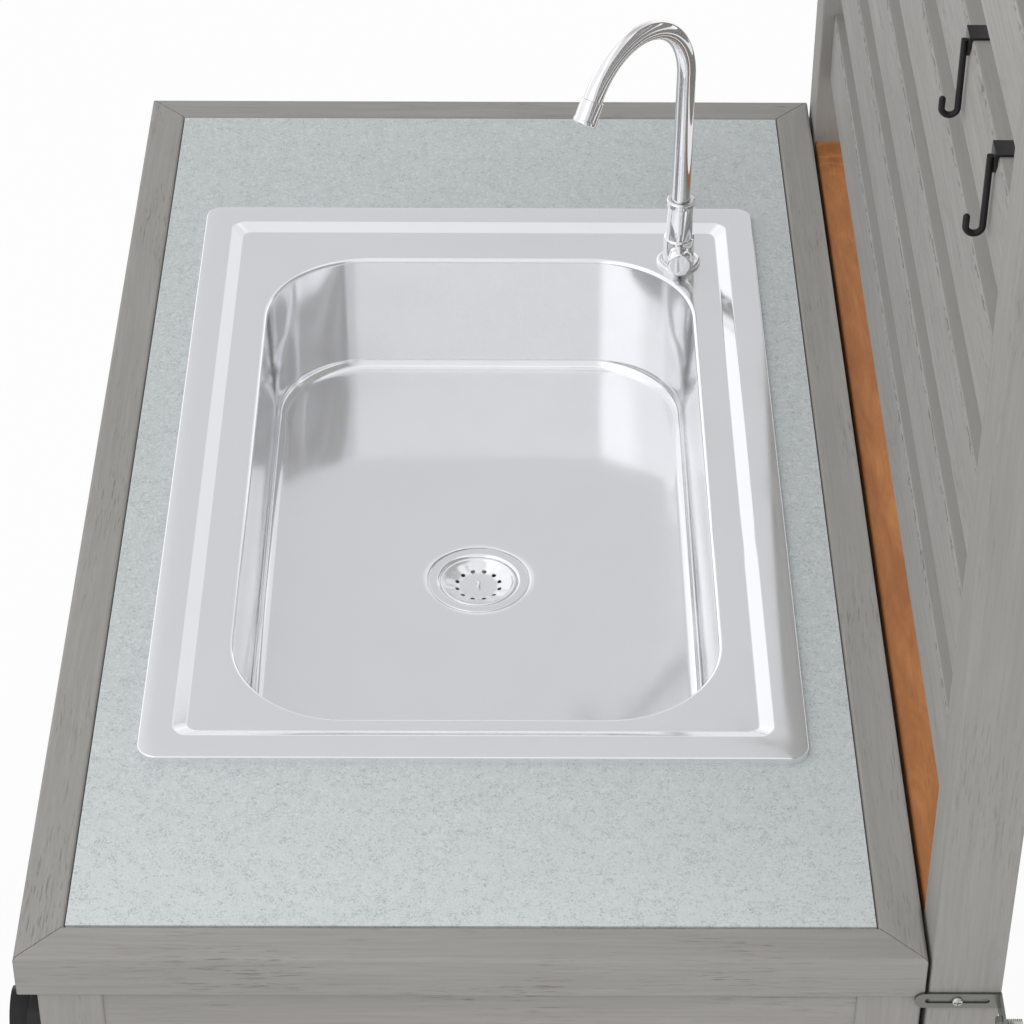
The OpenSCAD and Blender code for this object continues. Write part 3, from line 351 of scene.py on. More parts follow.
def group(name, inputs, outputs):
    """An empty node group with named inputs and outputs."""
    tree = bpy.data.node_groups.new(name, "ShaderNodeTree")
    for label, kind, default in inputs:
        socket = tree.interface.new_socket(name=label, in_out="INPUT", socket_type=kind)
        if default is not None:
            socket.default_value = default
    for label, kind in outputs:
        tree.interface.new_socket(name=label, in_out="OUTPUT", socket_type=kind)
    t = Tree(tree)
    source = t.add("NodeGroupInput")
    return t, source.outputs, lambda results: t.add("NodeGroupOutput", results)


def build_grain():
    """Wood grain along X: broad bands, fine lines and short dark pores."""
    t, given, close = group(
        "wood_grain",
        [("Vector", "NodeSocketVector", None), ("Pores", "NodeSocketFloat", 1.0)],
        [("Bands", "NodeSocketFloat"), ("Lines", "NodeSocketFloat"),
         ("Pores", "NodeSocketFloat"), ("Height", "NodeSocketFloat")])
    v = given["Vector"]
    sway = t.noise(v, 1.6, 2.0)
    drift = t.add("ShaderNodeCombineXYZ", {
        "Y": t.maths("MULTIPLY", sway, 0.03), "Z": t.maths("MULTIPLY", sway, 0.02)}).outputs[0]
    bent = t.add("ShaderNodeVectorMath", {0: v, 1: drift}, operation="ADD").outputs[0]
    bands = t.noise(t.stretch(bent, (0.9, 14, 14)), 3.4, 3.0, 0.6)
    lines = t.noise(t.stretch(bent, (0.035, 1, 1)), 330, 4.0, 0.62)
    cells = t.noise(t.stretch(bent, (0.07, 1, 1)), 760, 3.0, 0.55)
    patch = t.noise(t.stretch(v, (0.55, 2.2, 2.2)), 13, 2.0)
    pores = t.maths("MULTIPLY", t.span(cells, 0.56, 0.68),
                    t.maths("MULTIPLY", t.span(patch, 0.46, 0.62, 0.10, 1.0), given["Pores"]),
                    clamp=True)
    height = t.maths("SUBTRACT", t.maths("MULTIPLY", lines, 0.5), pores)
    close({"Bands": t.span(bands, 0.3, 0.7), "Lines": t.span(lines, 0.33, 0.67),
           "Pores": pores, "Height": height})
    return t.tree


def build_specks():
    """Flecks of a cast countertop: small curled marks in drifts, and paler grit."""
    t, given, close = group(
        "stone_specks", [("Vector", "NodeSocketVector", None)],
        [("Dark", "NodeSocketFloat"), ("Pale", "NodeSocketFloat"),
         ("Cloud", "NodeSocketFloat")])
    v = given["Vector"]
    curls = t.noise(v, 280, 3.0, 0.6, 0.8)
    ridge = t.span(t.maths("ABSOLUTE", t.maths("SUBTRACT", curls, 0.5)), 0.004, 0.03, 1.0, 0.0)
    drift = t.noise(v, 120, 3.0, 0.6)
    grit = t.noise(v, 640, 2.0, 0.55)
    aside = t.add("ShaderNodeVectorMath", {0: v, 1: (3.1, 1.7, 0.4)},
                  operation="ADD").outputs[0]
    pale = t.noise(aside, 330, 2.0, 0.55, 0.3)
    cloud = t.noise(v, 28, 3.0, 0.6)
    curled = t.maths("MULTIPLY", ridge, t.span(drift, 0.47, 0.58, 0.16, 1.0))
    dark = t.maths("ADD", t.maths("MULTIPLY", curled, 0.75),
                   t.maths("MULTIPLY", t.span(grit, 0.55, 0.7), 0.45), clamp=True)
    close({"Dark": dark, "Pale": t.span(pale, 0.52, 0.66),
           "Cloud": t.span(cloud, 0.35, 0.65)})
    return t.tree


def build_figure():
    """Figure of an oiled rail along X: wavy bands, blotches and arcs across one end."""
    t, given, close = group(
        "cedar_figure",
        [("Vector", "NodeSocketVector", None), ("End", "NodeSocketFloat", -0.55)],
        [("Bands", "NodeSocketFloat"), ("Blotches", "NodeSocketFloat"),
         ("Arcs", "NodeSocketFloat")])
    v = given["Vector"]
    bands = t.noise(t.stretch(v, (0.17, 1, 1)), 80, 5.0, 0.66, 1.3)
    blotches = t.noise(t.stretch(v, (0.32, 1, 1)), 30, 4.0, 0.62, 0.8)
    place = t.add("ShaderNodeSeparateXYZ", {0: v}).outputs
    bow = t.maths("MULTIPLY", t.noise(v, 16, 2.0, 0.5, 0.4), 0.05)
    course = t.maths("ADD", t.maths("SUBTRACT", place["X"], given["End"]), bow)
    waves = t.maths("SINE", t.maths("MULTIPLY", course, 420.0))
    near_end = t.span(course, 0.03, 0.11, 1.0, 0.0)
    close({"Bands": t.span(bands, 0.34, 0.66), "Blotches": t.span(blotches, 0.36, 0.64),
           "Arcs": t.maths("MULTIPLY", t.span(waves, 0.2, 1.0), near_end)})
    return t.tree


def build_wear():
    """Soft handling marks: smudges and fine scratches, for metal."""
    t, given, close = group(
        "handling_marks", [("Vector", "NodeSocketVector", None)],
        [("Smudge", "NodeSocketFloat"), ("Scratch", "NodeSocketFloat"),
         ("Wave", "NodeSocketFloat")])
    v = given["Vector"]
    smudge = t.noise(v, 14, 3.0, 0.6)
    scratch = t.noise(t.stretch(v, (1.0, 0.06, 1.0)), 900, 2.0, 0.5)
    wave = t.noise(v, 5.5, 1.0, 0.4)
    close({"Smudge": t.span(smudge, 0.4, 0.7), "Scratch": scratch, "Wave": wave})
    return t.tree


GROUPS = {}


def shared(name):
    builders = {"wood_grain": build_grain, "stone_specks": build_specks,
                "cedar_figure": build_figure, "handling_marks": build_wear}
    if name not in GROUPS:
        GROUPS[name] = builders[name]()
    return GROUPS[name]


def rgba(values):
    return (*values, 1.0)


def new_material(name, **shader):
    """A material with one Principled BSDF: its tree, object coordinates and inputs."""
    material = bpy.data.materials.new(name)
    material.use_nodes = True
    material.node_tree.nodes.clear()
    t = Tree(material.node_tree)
    place = t.add("ShaderNodeTexCoord").outputs["Object"]
    bsdf = t.add("ShaderNodeBsdfPrincipled")
    for key, value in shader.items():
        bsdf.inputs[key.replace("_", " ")].default_value = value
    out = t.add("ShaderNodeOutputMaterial")
    t.tree.links.new(bsdf.outputs[0], out.inputs[0])
    return material, t, place, bsdf.inputs


def effect(t, name, inputs):
    node = t.add("ShaderNodeGroup", node_tree=shared(name))
    t.plug(node.inputs, inputs)
    return node.outputs


def bump(t, height, strength, distance):
    return t.add("ShaderNodeBump", {"Height": height, "Strength": strength,
                                    "Distance": distance}).outputs[0]


# Turns that lay a board's length along the grain group's X
ALONG = {"X": (0, 0, 0), "Y": (0, 0, math.pi / 2), "Z": (0, math.pi / 2, 0)}


def ragged_arris_shade(t, place, facing):
    """Mask of painted shade with a ragged edge along each slat's upper front arris, below the
    shaded top.
    """
    low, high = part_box("slat_1")
    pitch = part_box("slat_2")[0].z - low.z
    height = t.add("ShaderNodeSeparateXYZ", {0: place}).outputs["Z"]
    above = t.maths("FLOORED_MODULO", t.maths("SUBTRACT", height, low.z), pitch)
    tall = high.z - low.z
    wobble = t.noise(t.stretch(place, (0.3, 1, 1)), 230, 4.0, 0.65)
    reach = t.maths("ADD", above, t.maths("MULTIPLY", t.maths("SUBTRACT", wobble, 0.5), 0.05))
    shade_band = t.maths("MULTIPLY", t.span(reach, tall - 0.001, tall + 0.0006),
                   t.span(facing, 0.7, 0.5))
    return t.maths("MULTIPLY", shade_band, 0.8)


def wood_material(name, axis, light, grain, pore, top_shade=0.0):
    """Washed wood. With a top shade, the upward faces get painted shade, darker than the fronts,
    and a ragged painted shade runs along each slat's upper front arris.
    """
    material, t, place, shader = new_material(name)
    turned_place = t.add("ShaderNodeMapping", {"Vector": place, "Rotation": ALONG[axis]},
                         vector_type="POINT").outputs[0]
    g = effect(t, "wood_grain", {"Vector": turned_place,
                                 "Pores": 0.55 if axis == "Z" else 1.0})
    body = t.mix(t.maths("MULTIPLY", g["Bands"], 0.42), rgba(light), rgba(grain))
    body = t.mix(t.maths("MULTIPLY", g["Lines"], 0.45), body, rgba(grain))
    body = t.mix(t.maths("MULTIPLY", g["Pores"], 0.55), body, rgba(pore))
    if top_shade:
        # Painted shade: upward faces darkened towards the grain colour, and a ragged band of
        # painted shade in the pore colour along each upper front arris
        facing = t.add("ShaderNodeSeparateXYZ", {0: t.add("ShaderNodeNewGeometry").outputs[
            "True Normal"]}).outputs["Z"]
        body = t.mix(t.span(facing, 0.8, 0.95, 0.0, top_shade), body, rgba(grain))
        body = t.mix(ragged_arris_shade(t, place, facing), body, rgba(pore))
    t.plug(shader, {"Base Color": body, "Roughness": t.span(g["Lines"], 0.0, 1.0, 0.56, 0.72),
                    "Normal": bump(t, g["Height"], 0.55, 0.0004)})
    return material


def cedar_material(c):
    material, t, place, shader = new_material("cedar", Specular_IOR_Level=0.3)
    g = effect(t, "wood_grain", {"Vector": place, "Pores": 0.5})
    f = effect(t, "cedar_figure", {"Vector": place, "End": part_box("cedar_rail")[0].x})
    body = t.mix(t.maths("MULTIPLY", f["Bands"], 0.6), rgba(c.cedar), rgba(c.cedar_light))
    body = t.mix(t.maths("MULTIPLY", f["Blotches"], 0.5), body, rgba(c.cedar_dark))
    body = t.mix(t.maths("MULTIPLY", g["Lines"], 0.16), body, rgba(c.cedar_dark))
    body = t.mix(t.maths("MULTIPLY", g["Pores"], 0.6), body, rgba(c.cedar_dark))
    body = t.mix(t.maths("MULTIPLY", f["Arcs"], 0.6), body, rgba(c.cedar_light))
    t.plug(shader, {"Base Color": body, "Roughness": t.span(f["Bands"], 0.0, 1.0, 0.42, 0.56),
                    "Normal": bump(t, g["Height"], 0.4, 0.0003)})
    return material


def stone_material(c):
    material, t, place, shader = new_material("speckled_stone")
    s = effect(t, "stone_specks", {"Vector": place})
    along = t.add("ShaderNodeSeparateXYZ", {0: place}).outputs["X"]
    # Random paler clouds, and painted light: paler towards the near end, from 0.25 m to 0.5 m
    # along X
    clouds_and_light = t.maths("ADD", t.maths("MULTIPLY", s["Cloud"], 0.12),
                    t.span(along, 0.25, 0.5, 0.0, 0.5), clamp=True)
    body = t.mix(clouds_and_light, rgba(c.stone), rgba(c.stone_pale))
    body = t.mix(t.maths("MULTIPLY", s["Pale"], 0.6), body, rgba(c.stone_pale))
    body = t.mix(t.maths("MULTIPLY", s["Dark"], 0.88), body, rgba(c.stone_fleck))
    t.plug(shader, {"Base Color": body, "Roughness": t.span(s["Dark"], 0.0, 1.0, 0.38, 0.5),
                    "Normal": bump(t, s["Dark"], 0.15, 0.0001)})
    return material


def metal_material(name, tint, low, high, wave, scratch, metallic):
    """Metal whose roughness lies between low and high."""
    material, t, place, shader = new_material(name, Metallic=metallic)
    m = effect(t, "handling_marks", {"Vector": place})
    shade = t.mix(t.maths("MULTIPLY", m["Smudge"], 0.10), rgba(tint),
                  rgba([0.8 * v for v in tint]))
    height = t.maths("ADD", t.maths("MULTIPLY", m["Wave"], wave),
                     t.maths("MULTIPLY", m["Scratch"], scratch))
    t.plug(shader, {"Base Color": shade, "Roughness": t.span(m["Smudge"], 0.0, 1.0, low, high),
                    "Normal": bump(t, height, 1.0, 0.001)})
    return material


def coated_material(name, tint, roughness, grit):
    """Powder coat, rubber and foam: a fine grit in the surface."""
    material, t, place, shader = new_material(name, Specular_IOR_Level=0.22)
    fine = t.noise(place, 1400, 2.0, 0.6)
    broad = t.noise(place, 40, 2.0, 0.5)
    shade = t.mix(t.span(broad, 0.35, 0.65), rgba(tint), rgba([1.35 * v for v in tint]))
    t.plug(shader, {"Base Color": shade, "Roughness": t.span(
        fine, 0.3, 0.7, roughness - 0.06, roughness + 0.08),
        "Normal": bump(t, fine, grit, 0.0002)})
    return material


MATERIALS = {}


def make_materials(c):
    """Every finish of the table, by name."""
    for axis in "XYZ":
        MATERIALS["wood_" + axis] = wood_material(
            "grey_wood_" + axis.lower(), axis, c.wood, c.wood_grain, c.wood_pore)
    # The slats get a lighter copy of the wash, painted light on their faces, and painted shade
    # on their tops
    MATERIALS["slats"] = wood_material("grey_wood_slats", "X", c.slat_wood_lit, c.wood_grain,
                                       c.wood_pore, top_shade=0.85)
    MATERIALS["cedar"] = cedar_material(c)
    MATERIALS["stone"] = stone_material(c)
    bright = [2.5 * v for v in c.zinc]
    # Name, tint, lowest and highest roughness, wave, scratch, metallic
    metals = {"steel": ("sink_steel", c.steel, 0.10, 0.15, 0.12, 0.003, 0.84),
              "satin": ("satin_steel", c.steel, 0.22, 0.3, 0.1, 0.003, 0.75),
              "chrome": ("chrome", c.chrome, 0.04, 0.09, 0.02, 0.0, 1.0),
              "zinc": ("zinc", c.zinc, 0.27, 0.4, 0.1, 0.02, 1.0),
              "bright_zinc": ("bright_zinc", bright, 0.2, 0.3, 0.1, 0.02, 1.0),
              "brass": ("brass", c.brass, 0.28, 0.4, 0.1, 0.02, 1.0)}
    for key, settings in metals.items():
        MATERIALS[key] = metal_material(*settings)
    MATERIALS["iron"] = coated_material("black_iron", c.iron, 0.34, 0.25)
    MATERIALS["rubber"] = coated_material("rubber", c.rubber, 0.6, 0.3)


def finish_nodes(material, *names):
    """Gives CAD nodes a material."""
    for name in names:
        for slot in NODES[name].material_slots:
            slot.material = MATERIALS[material]


# ---------------------------------------------------------------- operators

class SINKTABLE_OT_finishes(bpy.types.Operator):
    """Mixes the finishes: wood, cedar, stone, steel, chrome, zinc, brass, iron and rubber"""
    bl_idname = "sinktable.finishes"
    bl_label = "Mix the finishes"

    def execute(self, context):
        make_materials(context.scene.sinktable_colours)
        return {"FINISHED"}


class SINKTABLE_OT_boards(bpy.types.Operator):
    """Gives each board its wood, with the grain along its length"""
    bl_idname = "sinktable.boards"
    bl_label = "Finish the boards"

    def execute(self, context):
        sides = ("front", "back")
        ends = ("near", "far")
        finish_nodes("wood_X", *("apron_" + s for s in sides), *("edging_" + s for s in sides),
                     *("shelf_rail_" + s for s in sides), "foot_rail")
        finish_nodes("slats", *(f"slat_{k}" for k in range(1, SLAT_COUNT + 1)))
        finish_nodes("wood_Y", *("apron_" + e for e in ends), *("edging_" + e for e in ends),
                     *("shelf_rail_" + e for e in ends), "shelf_boards", "counter_battens")
        finish_nodes("wood_Z", *(f"leg_{s}_{e}" for s in sides for e in ends),
                     *("panel_post_" + e for e in ends))
        finish_nodes("cedar", "cedar_rail")
        finish_nodes("rubber", "floor_glides")
        return {"FINISHED"}


class SINKTABLE_OT_countertop(bpy.types.Operator):
    """Gives the countertop its speckled finish, paler towards its near end with painted light"""
    bl_idname = "sinktable.countertop"
    bl_label = "Finish the countertop"

    def execute(self, context):
        finish_nodes("stone", "countertop")
        finish_nodes("rubber", "sink_seal")
        return {"FINISHED"}


class SINKTABLE_OT_sink(bpy.types.Operator):
    """Presses the sink from one sheet: rim, step, deck, basin and drain recess"""
    bl_idname = "sinktable.sink"
    bl_label = "Model the sink"

    def execute(self, context):
        s = context.scene.sinktable_sink
        low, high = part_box("sink_bowl")
        x0, y0 = (low.x + high.x) / 2, (low.y + high.y) / 2
        hx, hy = (high.x - low.x) / 2, (high.y - low.y) / 2
        top = high.z
        deck = top - s.drop
        floor = deck - s.basin_h
        bx = high.x - s.basin_near - s.basin_l / 2
        by = low.y + s.basin_front + s.basin_d / 2
        rings = []
        roll_steps, wall_steps, fillet_steps = 8, 4, 12

        def rim(inset, r, z):
            rings.append((x0, y0, hx - inset, hy - inset, r, z))

        def basin(inset, z):
            rings.append((bx, by, s.basin_l / 2 - inset, s.basin_d / 2 - inset,
                          s.basin_corner - inset, z))

        def drain(r, z):
            rings.append((bx, by, r, r, r, z))

        rim(0, s.corner, top - s.lip)
        for k in range(roll_steps + 1):
            a = math.radians(90 * k / roll_steps)
            inset = s.lip_roll * (1 - math.cos(a))
            rim(inset, s.corner - inset, top - s.lip_roll + s.lip_roll * math.sin(a))
        # The sloping step, eased at its two edges
        for inset, r, z in (
                (s.band - 0.0014, s.step_corner + 0.0014, top),
                (s.band - 0.0004, s.step_corner + 0.0004, top - 0.0001),
                (s.band + 0.0005, s.step_corner, top - 0.0005),
                (s.band + s.step - 0.0005, s.step_corner, deck + 0.0005),
                (s.band + s.step + 0.0004, s.step_corner, deck + 0.0001),
                (s.band + s.step + 0.0014, s.step_corner, deck + 0.00005)):
            rim(inset, r, z)
        for k in range(roll_steps + 1):
            a = math.radians(90 * k / roll_steps)
            basin(-s.roll + s.roll * math.sin(a), deck - s.roll + s.roll * math.cos(a))
        for k in range(1, wall_steps):
            share = k / wall_steps
            basin(share * s.draft, deck - s.roll
                  - share * (s.basin_h - s.roll - s.fillet))
        for k in range(fillet_steps + 1):
            a = math.radians(90 * k / fillet_steps)
            basin(s.draft + s.fillet * (1 - math.cos(a)),
                  floor + s.fillet * (1 - math.sin(a)))
        flat = s.draft + s.fillet
        basin(flat + 0.02, floor - 0.1 * s.fall)
        # The drain's recess: radius, share of the floor's fall, depth below that
        for r, share, below in ((0.075, 0.8, 0), (0.052, 0.97, 0), (0.0430, 1, 0),
                                (0.0422, 1, 0.0003), (0.0419, 1, 0.0019),
                                (0.0337, 1, 0.002)):
            drain(r, floor - share * s.fall - below)
        obj = loft("sink_pressing", rings, s.segments)
        outward(obj)
        deck_faces = [f for f in obj.data.polygons
                      if abs(f.center.z - deck) < 0.0002 and abs(f.normal.z) > 0.9]
        if deck_faces[0].normal.z < 0:
            outward(obj, inside=True)
        modify(obj, "SOLIDIFY", thickness=s.sheet, offset=-1)
        settle(obj, SMOOTH_PRESSED)
        finish(obj, "table", MATERIALS["steel"], "sink_steel", "sink_bowl")
        finish_nodes("zinc", "sink_clips", "clip_screws")
        return {"FINISHED"}


class SINKTABLE_OT_drain(bpy.types.Operator):
    """Turns the drain's cup and the fluted strainer with its pin, and finishes the plumbing"""
    bl_idname = "sinktable.drain"
    bl_label = "Model the drain"

    def execute(self, context):
        low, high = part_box("drain_cup")
        centre = ((low.x + high.x) / 2, (low.y + high.y) / 2, 0)
        top = high.z * PER_METRE
        foot = low.z * PER_METRE
        flange_t = 1.4
        seat = top - flange_t
        cup = [(41, seat), (41, seat + 0.6)] + arc(40.2, seat + 0.6, 0.8, 0, 90, 5) \
            + [(34.4, top), (33.4, top - 0.15), (31.8, seat + 0.25), (31.5, seat - 0.1),
               (31.5, seat - 1.2), (29.5, seat - 1.2), (29.5, foot + 22),
               (20.8, foot + 15.8), (17.75, foot + 14), (17.75, foot), (20.55, foot),
               (20.55, foot + 14), (27.1, foot + 14), (33.1, foot + 21), (33.1, seat),
               (41, seat)]
        obj = turned("drain_cup_turned", cup, centre, steps=96)
        settle(obj)
        finish(obj, "table", MATERIALS["steel"], "sink_steel", "drain_cup")

        low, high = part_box("strainer_basket")
        base = low.z * PER_METRE
        depth = high.z * PER_METRE - base
        inner = [(27.8, depth - 1.1), (26.6, depth - 1.8), (24.4, depth - 2.6),
                 (21, depth - 3.7), (18.5, depth - 4.5), (16.4, depth - 5),
                 (14.6, depth - 5.2), (0, depth - 5.2)]
        outer = [(0, 0), (7.4, 0), (8, 0.6), (8, depth - 6.4), (14.8, depth - 6.4),
                 (16.8, depth - 6.2), (19, depth - 5.7), (21.6, depth - 4.9),
                 (25, depth - 3.8), (27.6, depth - 2.8), (28.6, depth - 1.8)]
        rim = [(28.9, depth - 1.2), (31.2, depth - 1.2), (31.2, depth - 0.4),
               (30.8, depth), (29.4, depth), (28.4, depth - 0.5)]
        obj = turned("strainer_turned", outer + rim + inner, (0, 0, 0), steps=96)
        self.flute(obj, depth)
        obj.location = (centre[0], centre[1], base * MM)
        settle(obj, SMOOTH_SMALL)
        finish(obj, "strainer", MATERIALS["satin"], "sink_steel", "strainer_basket")

        low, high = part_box("strainer_pin")
        foot = low.z * PER_METRE
        tip = high.z * PER_METRE
        pin = [(0, foot), (3.4, foot), (3.4, foot + 0.5), (1.7, foot + 1.1), (1.5, foot + 2),
               (1.5, tip - 2.6), (1.9, tip - 2.2)] + arc(0, tip - 2.0, 2.0, 0, 90, 6)
        obj = turned("strainer_pin_turned", pin, centre, steps=32)
        settle(obj)
        finish(obj, "strainer", MATERIALS["steel"], "sink_steel", "strainer_pin")
        finish_nodes("rubber", "drain_gasket")
        finish_nodes("zinc", "drain_locknut")
        finish_nodes("chrome", "tailpiece", "tailpiece_nut")
        return {"FINISHED"}

    @staticmethod
    def flute(obj, depth):
        """Draws the wall in between the flutes, and drills a hole in the foot of each flute."""
        flutes = 12
        pulls = (0.945, 0.957, 0.975, 0.992)  # from the middle between two flutes outwards
        spacing = 180 / flutes / len(pulls)
        wall_inner, wall_outer, wall_top = 14, 27.5, depth - 1.5
        hole_r, hole_circle, drill_l = 1.9 * MM, 18 * MM, 24 * MM
        with editing(obj):
            for phase, pull in enumerate(pulls):
                def between(vert, phase=phase):
                    angle = math.degrees(math.atan2(vert.co.y, vert.co.x)) % (360 / flutes)
                    near = min(angle, 360 / flutes - angle)
                    return (round(near / spacing) == phase
                            and wall_inner < math.hypot(vert.co.x, vert.co.y) / MM < wall_outer
                            and vert.co.z / MM < wall_top)
                pick(obj, between)
                bpy.ops.transform.resize(value=(pull, pull, 1), center_override=(0, 0, 0))
        drill = start("strainer_drill", bpy.ops.mesh.primitive_plane_add, size=MM)
        with editing(drill):
            bpy.ops.mesh.delete(type="VERT")
            for k in range(flutes):
                angle = math.radians((k + 0.5) * 360 / flutes)
                bpy.ops.mesh.primitive_cylinder_add(
                    vertices=20, radius=hole_r, depth=drill_l,
                    location=(hole_circle * math.cos(angle), hole_circle * math.sin(angle), 0))
        modify(obj, "BOOLEAN", object=drill, operation="DIFFERENCE", solver="EXACT")
        bpy.data.objects.remove(drill)


class SINKTABLE_OT_tap(bpy.types.Operator):
    """Turns the tap's flange, body, knob and aerator, and bends its spout"""
    bl_idname = "sinktable.tap"
    bl_label = "Model the tap"

    def execute(self, context):
        s = context.scene.sinktable_tap
        low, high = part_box("tap_flange")
        axis = Vector(((low.x + high.x) / 2, (low.y + high.y) / 2, low.z))
        flange = [(10.65, 0), (19, 0), (19, 1.0)] + arc(16.6, 1.0, 2.4, 0, 70, 6) \
            + [(15, 3.6), (14.6, 4), (10.65, 4), (10.65, 0)]
        obj = turned("tap_flange_turned", flange, axis, steps=96)
        settle(obj)
        finish(obj, "table", MATERIALS["chrome"], "chrome", "tap_flange")

        height = (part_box("tap_body")[1].z - low.z) * PER_METRE
        body = [(0, 4.02), (12.6, 4.02), (13.2, 4.6), (13.2, 25.6), (12.9, 26.3), (12.1, 26.8),
                (11.5, 27.2), (11.3, 27.8), (11.3, height - 6.2), (11.6, height - 5.6),
                (12.1, height - 5.2)] \
            + arc(10.3, height - 1.8, 1.8, 0, 80, 6) \
            + [(8.6, height - 0.3), (8.2, height - 1.2), (7.2, height - 1.2),
               (7.2, height - 23.6), (0, height - 23.6)]
        obj = turned("tap_body_turned", body, axis, steps=96)
        barrel_z = (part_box("tap_spindle")[0].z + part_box("tap_spindle")[1].z) / 2
        barrel = [(6.6, 5), (8.5, 5), (8.5, 17.8), (8.2, 18.3), (7.8, 18.5), (6.6, 18.5),
                  (6.6, 5)]
        sleeve = turned("tap_barrel", barrel, (axis.x, axis.y, barrel_z), axis="X", steps=64)
        settle(sleeve)
        settle(obj)
        take(obj)
        sleeve.select_set(True)
        bpy.ops.object.join()
        finish(obj, "table", MATERIALS["chrome"], "chrome", "tap_body")

        reach = (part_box("tap_knob")[0].x - axis.x) * PER_METRE
        knob = [(0, 0.3), (9.6, 0.3), (10.5, 0.7), (11, 1.6)] + arc(9.4, 9.9, 1.6, 0, 72, 6) \
            + [(8.2, 11.55), (5, 11.75), (0, 11.8)]
        obj = turned("tap_knob_turned", knob, (axis.x + reach * MM, axis.y, barrel_z),
                     axis="X", steps=96)
        settle(obj)
        finish(obj, "knob", MATERIALS["chrome"], "chrome", "tap_knob")

        self.spout(s, axis)
        finish_nodes("brass", "tap_cartridge", "tap_spindle", "tap_shank", "tap_backnut")
        finish_nodes("rubber", "tap_washer")
        return {"FINISHED"}

    @staticmethod
    def spout(s, axis):
        neck, socket, seat_gap, grip = 1 * MM, 22 * MM, 0.2 * MM, 3 * MM
        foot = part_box("tap_body")[1].z - axis.z + seat_gap
        out = Vector((math.sin(s.turn), 0, math.cos(s.turn)))
        end = Vector((s.arch_r * (1 - math.cos(s.turn)), 0,
                      s.rise + s.arch_r * math.sin(s.turn)))
        obj = start("spout_bent", bpy.ops.mesh.primitive_circle_add, vertices=48,
                    radius=s.tube_r - neck, location=(0, 0, 0))
        with editing(obj):
            bpy.ops.transform.translate(value=(0, 0, foot - socket))
            rings = [(1, socket), (s.tube_r / (s.tube_r - neck), 0),
                     (1, (s.rise - foot) / 2), (1, (s.rise - foot) / 2)]
            for scale, lift in rings:
                bpy.ops.mesh.extrude_edges_move(TRANSFORM_OT_translate={"value": (0, 0, lift)})
                if scale != 1:
                    bpy.ops.transform.resize(value=(scale, scale, 1),
                                             center_override=(0, 0, foot))
            bpy.ops.mesh.spin(steps=60, angle=-s.turn, center=(s.arch_r, 0, s.rise),
                              axis=(0, 1, 0))
            tip = max((v.co for v in bmesh.from_edit_mesh(obj.data).verts if v.select),
                      key=lambda co: co.x, default=None)
            if tip is None or (tip - end).length > 2 * s.tube_r:
                raise RuntimeError("The spout's arch turned the wrong way")
            bpy.ops.mesh.extrude_edges_move(
                TRANSFORM_OT_translate={"value": tuple(out * s.tail)})
        outward(obj)
        modify(obj, "SOLIDIFY", thickness=s.wall, offset=-1)
        obj.location = axis
        obj.rotation_euler = (0, 0, -s.aim)
        settle(obj)
        finish(obj, "spout", MATERIALS["chrome"], "chrome", "spout")

        # The aerator grips the tube's end and points along it
        sleeve = [(8.1, 0), (9.0, 0), (9.4, 0.3), (9.5, 0.8), (9.5, 15.8), (9.6, 16.6),
                  (10, 17.2), (10, 19.3), (9.6, 19.9), (9.0, 20), (7.8, 20), (7.8, 18),
                  (0, 17.5), (0, 16), (6.1, 16), (6.1, 3.4), (8.1, 3.4), (8.1, 0)]
        obj = turned("aerator_turned", sleeve, (0, 0, 0), steps=72)
        down = Vector((out.x * math.cos(s.aim), -out.x * math.sin(s.aim), out.z))
        mouth = end + out * (s.tail - grip)
        obj.location = axis + Vector((mouth.x * math.cos(s.aim),
                                      -mouth.x * math.sin(s.aim), mouth.z))
        obj.rotation_mode = "QUATERNION"
        obj.rotation_quaternion = down.to_track_quat("Z", "Y")
        settle(obj)
        finish(obj, "spout", MATERIALS["chrome"], "chrome", "aerator")


